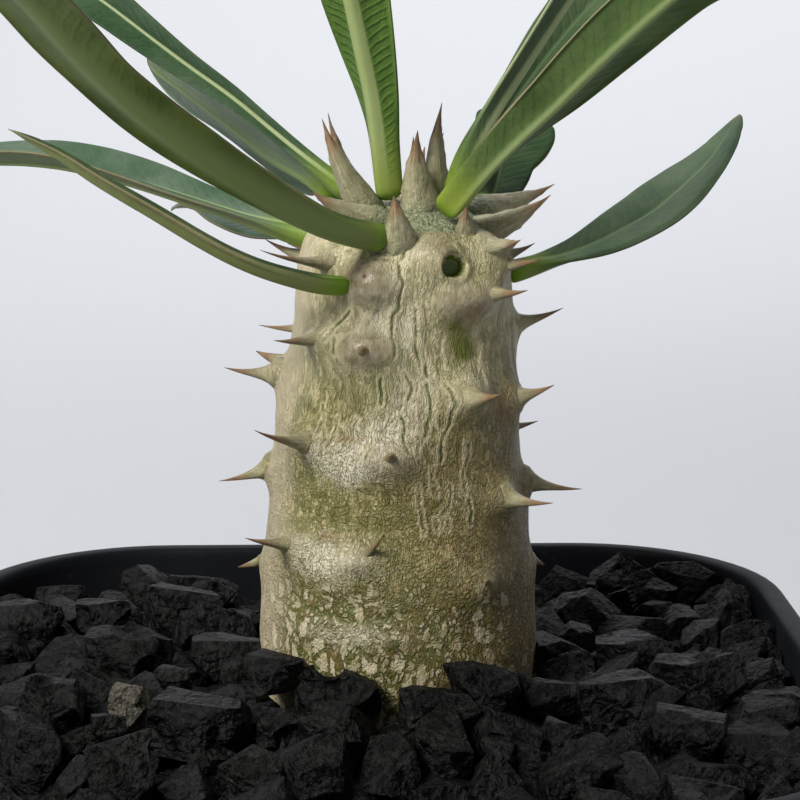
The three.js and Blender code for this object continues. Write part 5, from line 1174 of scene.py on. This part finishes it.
    col = n.mix(n.m("MULTIPLY", n.step(crack, 0.12, 0.60), 0.85), col, (0.072, 0.094, 0.014))
    # painted glints: fine near-white specks, more of them on the pale patches
    painted_glint = n.step(n.noise(p, 6.3, 2.0, 0.6), 0.62, 0.72)
    col = n.mix(n.m("MULTIPLY", painted_glint, n.m("ADD", 0.16, n.m("MULTIPLY", pale, 0.35))), col, (0.78, 0.75, 0.66))
    mauve = n.attr("mauve")
    flesh = n.mix(n.step(n.noise(p, 1.2, 4.0, 0.6), 0.32, 0.68), (0.165, 0.132, 0.080), (0.350, 0.305, 0.210))
    col = n.mix(n.m("MULTIPLY", n.m("MULTIPLY", mauve, n.m("SUBTRACT", 1.0, low)), 0.70), col, flesh)
    # the green felt between the leaf bases
    felt = n.noise(p, 2.6, 6.0, 0.75)
    col = n.mix(n.m("MULTIPLY", n.step(crown, 0.1, 0.7), 0.88), col, n.mix(n.step(felt, 0.36, 0.66), (0.085, 0.115, 0.050), (0.36, 0.38, 0.24)))
    # thorns: bark-coloured foot, grey body, tan and brown tip
    streaks = n.noise(n.join(n.m("MULTIPLY", n.attr("ridge"), 9.0), n.m("MULTIPLY", tip, 2.2), h), 1.0, 3.0, 0.6)
    body = n.mix(n.step(n.m("ADD", n.m("MULTIPLY", streaks, 0.6), n.m("MULTIPLY", n.noise(p, 1.1, 5.0, 0.65), 0.4)), 0.34, 0.66), (0.225, 0.205, 0.105), (0.43, 0.395, 0.245))
    body = n.mix(n.m("MULTIPLY", n.step(n.m("ADD", tip, n.m("MULTIPLY", n.m("SUBTRACT", streaks, 0.5), 0.5)), 0.26, 0.66), 0.85), body, (0.300, 0.165, 0.082))
    body = n.mix(n.step(tip, 0.84, 0.99), body, (0.120, 0.060, 0.032))
    fuzz = n.noise(p, 3.4, 5.0, 0.75)
    body = n.mix(n.m("MULTIPLY", crown, n.m("MULTIPLY", n.step(fuzz, 0.44, 0.62), 0.45)), body, (0.42, 0.42, 0.31))
    body = n.mix(n.m("MULTIPLY", n.step(n.noise(n.join(n.m("MULTIPLY", px, 2.2), n.m("MULTIPLY", py, 2.2), n.m("MULTIPLY", pz, 0.5)), 1.1, 4.0, 0.65), 0.54, 0.68), 0.50), body, (0.150, 0.125, 0.060))
    col = n.mix(thorn_, col, body)
    # the open scar, full of dark resin, with painted light on the lower right inside of it
    hole = n.attr("hole")
    pit = n.step(hole, 0.25, 0.75)
    # painted light: the dark resin turns a lit green towards the lower right of the pit
    col = n.mix(pit, col, n.mix(n.step(n.m("SUBTRACT", px, n.m("MULTIPLY", pz, 0.8)), -91.3, -90.0), (0.0060, 0.0115, 0.0020), (0.070, 0.110, 0.012)))
    n.set("Base Color", col)
    rough = n.m("ADD", 0.36, n.m("MULTIPLY", streak, 0.20))
    rough = n.m("ADD", rough, n.m("MULTIPLY", low, 0.10))
    rough = n.m("SUBTRACT", rough, n.m("MULTIPLY", n.m("MAXIMUM", pale, mauve), 0.15))
    rough = n.m("ADD", n.m("MULTIPLY", rough, n.m("SUBTRACT", 1.0, pit)), n.m("MULTIPLY", pit, 0.05))
    n.set("Roughness", rough)
    n.bsdf.inputs["Specular IOR Level"].default_value = 0.40
    n.bsdf.inputs["Subsurface Weight"].default_value = 0.0
    n.bsdf.inputs["Subsurface Radius"].default_value = (0.9, 0.6, 0.25)
    n.bsdf.inputs["Subsurface Scale"].default_value = 0.0007
    keep = n.m("SUBTRACT", 1.0, n.m("MAXIMUM", thorn_, pit))
    calm = n.m("SUBTRACT", 1.0, n.m("MULTIPLY", mauve, 0.75))
    rid = n.m("MULTIPLY", n.m("MULTIPLY", n.step(e_v, 0.0, 0.24), n.m("SUBTRACT", 1.0, n.m("MULTIPLY", n.m("MULTIPLY", mesh, 0.7), n.step(e_h, 0.20, 0.0)))), n.m("SUBTRACT", 1.0, n.m("MULTIPLY", low, 0.55)))
    hgt = n.m("MULTIPLY", rid, n.m("SUBTRACT", 0.085, n.m("MULTIPLY", top, 0.04)))
    hgt = n.m("ADD", hgt, n.m("MULTIPLY", worm, n.m("ADD", 0.05, n.m("MULTIPLY", top, 0.06))))
    hgt = n.m("ADD", hgt, n.m("MULTIPLY", tone, 0.12))
    hgt = n.m("SUBTRACT", hgt, n.m("MULTIPLY", seam, n.m("SUBTRACT", 0.055, n.m("MULTIPLY", top, 0.025))))
    hgt = n.m("ADD", hgt, n.m("MULTIPLY", n.m("MULTIPLY", plate, low), 0.06))
    hgt = n.m("ADD", hgt, n.m("MULTIPLY", grain, 0.035))
    hgt = n.m("MULTIPLY", n.m("MULTIPLY", hgt, keep), calm)
    hgt = n.m("ADD", hgt, n.m("MULTIPLY", n.m("MULTIPLY", crown, felt), 0.35))
    hgt = n.m("ADD", hgt, n.m("MULTIPLY", n.m("MULTIPLY", thorn_, streaks), 0.14))
    n.set("Normal", n.bump(hgt, 1.0, 1.0))
    return n.mat


make_stem()


# ---------------------------------------------------------------- the leaves
def pchip(x, y, q):
    """Smooth, never overshooting interpolation of rows y at x."""
    x, y = np.asarray(x, float), np.asarray(y, float)
    one = y.ndim == 1
    if one:
        y = y[:, None]
    h = np.diff(x)[:, None]
    d = np.diff(y, axis=0) / h
    m = np.zeros_like(y)
    same = d[1:] * d[:-1] > 0
    w1, w2 = 2 * h[1:] + h[:-1], h[1:] + 2 * h[:-1]
    with np.errstate(divide="ignore", invalid="ignore"):
        m[1:-1] = np.where(same, (w1 + w2) / (w1 / d[:-1] + w2 / d[1:]), 0)
    m[0], m[-1] = d[0], d[-1]
    i = np.clip(np.searchsorted(x, q) - 1, 0, len(x) - 2)
    t = ((q - x[i]) / (x[i + 1] - x[i]))[:, None]
    hh = h[i]
    out = (1 + 2 * t) * (1 - t) ** 2 * y[i] + t * (1 - t) ** 2 * hh * m[i] + t * t * (3 - 2 * t) * y[i + 1] + t * t * (t - 1) * hh * m[i + 1]
    return out[:, 0] if one else out


def leaf_material(key, look):
    n = Nodes("leaf_" + key + "_skin")
    p = n.pos()
    uv = n.xyz(n.attr("leaf", True))
    s, u, side = uv[0], uv[1], uv[2]           # millimetres along, -1 to 1 across, 1 on the upper face
    rib = n.attr("rib")
    under = n.step(side, 0.15, -0.15)
    over = n.m("SUBTRACT", 1.0, under)
    au = n.m("ABSOLUTE", u)
    wob = n.noise(p, 0.35, 3.0, 0.55)
    fine = n.noise(p, 2.2, 5.0, 0.65)
    # side veins leave the midrib at a steep angle and curve to the tip
    ph = n.m("ADD", n.m("MULTIPLY", s, look.get("pitch", 0.62)), n.m("MULTIPLY", n.m("POWER", au, 0.8), look.get("sweep", -2.2)))
    ph = n.m("ADD", ph, n.m("MULTIPLY", wob, 1.3))
    saw = n.m("PINGPONG", ph, 0.5)
    vein = n.m("MULTIPLY", n.m("MULTIPLY", n.step(saw, 0.16, 0.0), n.step(au, 0.97, 0.75)), n.step(s, 6.0, 16.0))
    net = n.voro(n.v("ADD", p, n.v("SCALE", n.noise(p, 1.0, 2.0, 0.5, True), scale=0.8)), 1.15, "DISTANCE_TO_EDGE")
    netm = n.step(net, 0.10, 0.0)
    up_a, up_b = look["upper"]
    un_a, un_b = look["under"]
    mot = n.step(n.noise(p, 0.16, 4.0, 0.6), 0.32, 0.70)
    upc = n.mix(mot, up_a, up_b)
    upc = n.mix(n.m("MULTIPLY", n.m("ADD", vein, n.m("MULTIPLY", netm, 0.35)), look.get("veins", 0.10)), upc, look.get("vein", (0.13, 0.20, 0.07)))
    unc = n.mix(mot, un_a, un_b)
    unc = n.mix(n.m("MULTIPLY", n.m("ADD", vein, n.m("MULTIPLY", netm, 0.25)), look.get("uveins", 0.10)), unc, look.get("uvein", (0.04, 0.07, 0.015)))
    # the blade is lighter beside the midrib
    glow = n.step(au, look.get("glow", 0.5), 0.0)
    unc = n.mix(n.m("MULTIPLY", glow, 0.55), unc, look.get("inner", (0.115, 0.165, 0.050)))
    col = n.mix(under, upc, unc)
    # midrib: a fine pale line above, a broad raised rib below
    col = n.mix(n.m("MULTIPLY", n.step(rib, 0.55, 0.85), over), col, look.get("rib_up", (0.30, 0.38, 0.17)))
    lr, hr = look.get("rib_edge", (0.22, 0.62))
    col = n.mix(n.m("MULTIPLY", n.step(rib, lr, hr), under), col, look.get("rib_under", (0.230, 0.300, 0.095)))
    # stalk: bright yellow-green
    stalk = n.step(n.m("ADD", s, n.m("MULTIPLY", wob, 2.0)), look.get("stalk", 9.0), 1.5)
    col = n.mix(n.m("MULTIPLY", stalk, 0.85), col, n.mix(fine, look.get("foot_a", (0.125, 0.200, 0.012)), look.get("foot_b", (0.225, 0.310, 0.032))))
    col = n.mix(n.m("MULTIPLY", n.step(s, look.get("ring", 1.8), 0.3), look.get("bright", 0.75)), col, (0.105, 0.215, 0.004))
    edge = n.m("MULTIPLY", n.step(au, 0.975, 0.997), n.step(s, 6.0, 14.0))
    col = n.mix(n.m("MULTIPLY", edge, look.get("edge_on", 0.6)), col, look.get("edge", (0.20, 0.155, 0.075)))
    tipc = n.attr("tipn")
    col = n.mix(n.step(tipc, 0.965, 1.0), col, look.get("tip", (0.16, 0.125, 0.05)))
    speck = n.step(n.noise(p, 3.1, 6.0, 0.8), 0.66, 0.76)
    col = n.mix(n.m("MULTIPLY", speck, 0.18), col, (0.26, 0.28, 0.17))
    n.set("Base Color", col)
    base_r = n.m("ADD", look.get("rough", 0.40), n.m("MULTIPLY", under, 0.08))
    n.set("Roughness", n.m("ADD", base_r, n.m("MULTIPLY", fine, 0.16)))
    n.bsdf.inputs["Specular IOR Level"].default_value = look.get("spec", 0.32)
    n.bsdf.inputs["Subsurface Weight"].default_value = 0.0
    n.bsdf.inputs["Subsurface Radius"].default_value = (0.5, 0.9, 0.15)
    n.bsdf.inputs["Subsurface Scale"].default_value = 0.0008
    blade = n.m("MULTIPLY", n.m("SUBTRACT", 1.0, n.step(rib, 0.2, 0.6)), n.m("SUBTRACT", 1.0, stalk))
    pk = look.get("pucker", 0.05)
    hgt = n.m("MULTIPLY", n.m("MULTIPLY", n.step(saw, 0.30, 0.0), n.m("MULTIPLY", n.step(au, 0.97, 0.75), blade)), n.m("ADD", -pk, n.m("MULTIPLY", under, 2 * pk * look.get("usign", 1.0))))
    hgt = n.m("ADD", hgt, n.m("MULTIPLY", n.m("MULTIPLY", net, 0.03 + 0.6 * pk), blade))
    hgt = n.m("ADD", hgt, n.m("MULTIPLY", fine, 0.03))
    hgt = n.m("ADD", hgt, n.m("MULTIPLY", wob, 0.10))
    n.set("Normal", n.bump(hgt, 0.8, 1.0))
    return n.mat


W_T = [0, 0.06, 0.15, 0.3, 0.45, 0.6, 0.7, 0.8, 0.88, 0.94, 0.98, 1.0]
W_V = [0.20, 0.20, 0.26, 0.45, 0.70, 0.92, 1.0, 0.95, 0.80, 0.56, 0.29, 0.05]


def make_leaf(leaf, look):
    st = np.array(leaf["st"])
    k = len(st)
    tt = np.linspace(0, 1, k)
    half_n = 15
    t = np.concatenate([np.linspace(0, 1, 9)[:-1] ** 1.6 * 0.035, np.linspace(0.035, 0.9, 84), 0.9 + 0.1 * np.linspace(0, 1, 21)[1:] ** 0.8])
    C = pchip(tt, st[:, :3], t)
    # smooth the midrib a little more
    N = pchip(tt, st[:, 3:6], t)
    for _ in range(6):
        C[1:-1] = 0.25 * C[:-2] + 0.5 * C[1:-1] + 0.25 * C[2:]
    W = pchip(tt, st[:, 6], t)
    g0 = np.interp(tt[-2], W_T, W_V)
    m = t > tt[-2]
    W[m] = st[-2, 6] * pchip(W_T, W_V, t[m]) / g0
    T = np.gradient(C, axis=0)
    T /= np.linalg.norm(T, axis=1)[:, None]
    N = N - (N * T).sum(1)[:, None] * T
    N /= np.linalg.norm(N, axis=1)[:, None]
    B = np.cross(T, N)
    s = np.r_[0, np.cumsum(np.linalg.norm(np.diff(C, axis=0), axis=1))]
    stalk = 1 - smoothstep(t, 0.03, 0.20)
    fold = leaf["fold"] * (0.45 + 0.55 * smoothstep(t, 0.0, 0.15)) * (1 - 0.5 * smoothstep(t, 0.85, 1.0)) + look.get("extra_fold", 0.10)
    W = np.maximum(W, 0.06)
    W = np.where(t < 0.15, np.maximum(W, look.get("stalk_w", 0.98) - 0.1 * t), W)
    foot = np.sqrt(np.clip(1 - (1 - np.clip(s / 1.3, 0.004, 1)) ** 2, 0, 1))
    W = W * foot
    u = np.r_[np.sin(np.linspace(-1, 1, 2 * half_n + 1) * math.pi / 2)]
    u = np.sign(u) * np.abs(u) ** 0.92
    rs = np.random.RandomState(ord(leaf["key"]) * 7)
    wk = look.get("wave", 1.0)
    wavy = wk * (0.10 * np.sin(s * 0.22 + rs.uniform(0, 6)) + 0.02 * np.sin(s * 0.6 + rs.uniform(0, 6)))
    wave_r = wk * (0.10 * np.sin(s * 0.19 + rs.uniform(0, 6)) + 0.02 * np.sin(s * 0.7 + rs.uniform(0, 6)))
    top, bot = [], []
    Urow = u[None, :]
    au = np.abs(Urow)
    th = (0.62 - 0.22 * t)[:, None] * (1 - 0.45 * au ** 3) * (1 - 0.35 * smoothstep(t, 0.93, 1.0))[:, None]
    rnd = np.sqrt(np.clip(1 - au ** 2, 0, 1))
    th_stalk = look.get("stalk_h", 1.9) * rnd
    th = th * (1 - stalk[:, None]) + th_stalk * stalk[:, None]
    th = th * np.clip(W[:, None] / 0.8, 0.15, 1) * foot[:, None]
    across = Urow * (W * np.cos(fold))[:, None]
    lift = (np.sqrt(au ** 2 + 0.012) - math.sqrt(0.012)) * (W * np.sin(fold))[:, None]
    lift = lift - (0.30 * np.clip((au - 0.86) / 0.14, 0, 1) ** 2) * smoothstep(t, 0.12, 0.3)[:, None] * np.clip(W / 3, 0, 1)[:, None]
    lift = lift + np.where(Urow > 0, wavy[:, None], wave_r[:, None]) * au ** 2 * smoothstep(t, 0.2, 0.5)[:, None] * (1 - smoothstep(t, 0.92, 1))[:, None]
    b = across
    rib_w = (0.95 - 0.62 * t)[:, None]
    ribu = np.exp(-(b / (look.get("rib_up_w", 0.42) * rib_w)) ** 2)
    ribl = np.exp(-(b / (look.get("rib_w", 0.80) * rib_w)) ** 2)
    blade = (1 - stalk)[:, None]
    hi = lift + th * 0.5 - 0.16 * ribu * blade * smoothstep(t, 1.0, 0.8)[:, None]
    deep = (0.85 - 0.62 * t)[:, None] * (1 - smoothstep(t, 0.93, 1.0))[:, None] * foot[:, None] * look.get("deep", 1.0)
    lo = lift - th * 0.5 - deep * ribl * (1 - 0.45 * stalk)[:, None]
    def pts(hh):
        return C[:, None] + B[:, None] * b[..., None] + N[:, None] * hh[..., None]
    ti, ui = len(t), len(u)
    up, dn = pts(hi), pts(lo)
    # ring: upper face from +1 to -1, then lower face back
    ring = np.concatenate([up[:, ::-1], dn[:, 1:-1]], 1)
    ru = np.concatenate([np.broadcast_to(u[::-1], (ti, ui)), np.broadcast_to(u[1:-1], (ti, ui - 2))], 1)
    sd = np.concatenate([np.ones((ti, ui)), -np.ones((ti, ui - 2))], 1)
    sd[:, 0] = sd[:, ui - 1] = 0
    rb = np.concatenate([ribu[:, ::-1], ribl[:, 1:-1]], 1)
    cols = ring.shape[1]
    V = ring.reshape(-1, 3)
    F = grid_faces(ti, cols).tolist()
    m = len(V)
    V = np.concatenate([V, [C[0] - T[0] * 0.04], [C[-1] + T[-1] * 0.05]])
    F += [(m, (i + 1) % cols, i) for i in range(cols)]
    F += [(m + 1, (ti - 1) * cols + i, (ti - 1) * cols + (i + 1) % cols) for i in range(cols)]
    leafv = np.stack([np.broadcast_to(s[:, None], (ti, cols)), ru, sd], -1).reshape(-1, 3)
    leafv = np.concatenate([leafv, [[0, 0, 0], [s[-1], 0, 0]]])
    rib = np.r_[rb.ravel(), 0, 0]
    tipn = np.r_[np.repeat(t, cols), 0, 1]
    # turn the faces outwards whatever the ring's sense
    f0 = F[(ti // 2) * cols + ui // 2]
    q = [V[i] for i in f0]
    nn = np.cross(q[1] - q[0], q[2] - q[0])
    if nn @ N[ti // 2] < 0:
        F = [list(reversed(f)) for f in F]
    ob = make_mesh("leaf_" + leaf["key"] + "_skin_", V, F, True, {"leaf": leafv, "rib": rib, "tipn": tipn})
    ob.name = "blade_" + leaf["key"]
    wear(ob, leaf_material(leaf["key"], look))
    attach(ob, "root")
    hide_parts("leaf_" + leaf["key"])
    return ob


DARK = ((0.022, 0.052, 0.014), (0.050, 0.092, 0.028))
UNDER = ((0.046, 0.076, 0.018), (0.080, 0.118, 0.034))
LOOKS = {
    "a": dict(upper=DARK, under=((0.052, 0.086, 0.010), (0.102, 0.140, 0.026)), rib_under=(0.150, 0.200, 0.062), inner=(0.110, 0.150, 0.050), rib_w=1.9, rib_edge=(0.0, 0.9), glow=0.75,
              edge=(0.24, 0.21, 0.10), edge_on=0.45, wave=0.4, ring=3.4, bright=0.85, foot_a=(0.085, 0.115, 0.020), foot_b=(0.150, 0.185, 0.040), stalk=7.0),
    "b": dict(upper=((0.030, 0.055, 0.020), (0.060, 0.088, 0.040)), under=((0.105, 0.125, 0.040), (0.150, 0.165, 0.062)), rib_under=(0.150, 0.175, 0.055), edge=(0.24, 0.20, 0.10), wave=0.2, stalk_h=1.35, deep=0.70, stalk_w=0.80, ring=3.4, bright=0.85,
              foot_a=(0.105, 0.190, 0.008), foot_b=(0.165, 0.265, 0.018), stalk=6.0),
    "c": dict(upper=((0.022, 0.058, 0.020), (0.052, 0.098, 0.045)), under=UNDER, rib_up=(0.34, 0.40, 0.20), rough=0.36, spec=0.5, rib_up_w=0.38, veins=0.06, wave=0.5),
    "d": dict(upper=DARK, under=((0.100, 0.150, 0.090), (0.150, 0.205, 0.135)), rib_under=(0.20, 0.28, 0.105), rib_edge=(0.3, 0.8), edge=(0.16, 0.22, 0.13), wave=0.4),
    "e": dict(upper=((0.032, 0.078, 0.034), (0.085, 0.128, 0.085)), under=((0.100, 0.140, 0.060), (0.15, 0.19, 0.09)), rib_up=(0.22, 0.29, 0.12), rough=0.52, spec=0.35, veins=0.04, wave=0.3, pucker=0.02),
    "f": dict(upper=((0.030, 0.066, 0.030), (0.075, 0.118, 0.085)), under=((0.100, 0.140, 0.075), (0.14, 0.18, 0.10)), rib_up=(0.12, 0.17, 0.09), rough=0.36, veins=0.04, wave=0.4),
    "g": dict(upper=DARK, under=((0.050, 0.108, 0.010), (0.088, 0.165, 0.022)), rib_under=(0.270, 0.330, 0.125), rib_edge=(0.40, 0.60), rib_w=1.15, uveins=0.75, uvein=(0.018, 0.052, 0.006),
              inner=(0.085, 0.160, 0.022), sss=0.22, pucker=0.075, pitch=1.15, sweep=-1.6, foot_a=(0.20, 0.27, 0.035), foot_b=(0.27, 0.34, 0.06), edge=(0.03, 0.06, 0.02)),
    "h": dict(upper=DARK, under=((0.032, 0.062, 0.010), (0.066, 0.102, 0.024)), rib_under=(0.200, 0.255, 0.100), rib_edge=(0.25, 0.85), rib_w=0.70, stalk_w=0.72, stalk_h=1.5, uveins=0.35, uvein=(0.020, 0.045, 0.008),
              inner=(0.055, 0.110, 0.018), pucker=0.08, edge=(0.23, 0.20, 0.11), edge_on=0.8, wave=0.5, foot_a=(0.19, 0.27, 0.022), foot_b=(0.29, 0.37, 0.05)),
    "i": dict(upper=DARK, under=((0.040, 0.080, 0.028), (0.080, 0.128, 0.050)), rib_under=(0.33, 0.39, 0.19), edge=(0.33, 0.38, 0.20), edge_on=0.9, wave=0.3),
    # leaf j's upper face is coloured darker than the other leaves': painted shade, for it lies in the stem's shade
    # behind it
    "j": dict(upper=((0.016, 0.044, 0.012), (0.034, 0.066, 0.022)), under=UNDER, rib_up=(0.085, 0.13, 0.05), spec=0.08, rough=0.6, wave=0.2),
    "k": dict(upper=((0.030, 0.064, 0.028), (0.066, 0.104, 0.052)), under=((0.05, 0.09, 0.03), (0.09, 0.13, 0.05)), rib_up=(0.110, 0.165, 0.070), rough=0.50, spec=0.20, veins=0.05, edge=(0.10, 0.13, 0.08), wave=0.0, pucker=0.03),
    "l": dict(upper=((0.038, 0.076, 0.026), (0.078, 0.118, 0.050)), under=UNDER, rib_up=(0.10, 0.15, 0.07), wave=0.4),
}
for leaf in LEAVES:
    make_leaf(leaf, LOOKS[leaf["key"]])
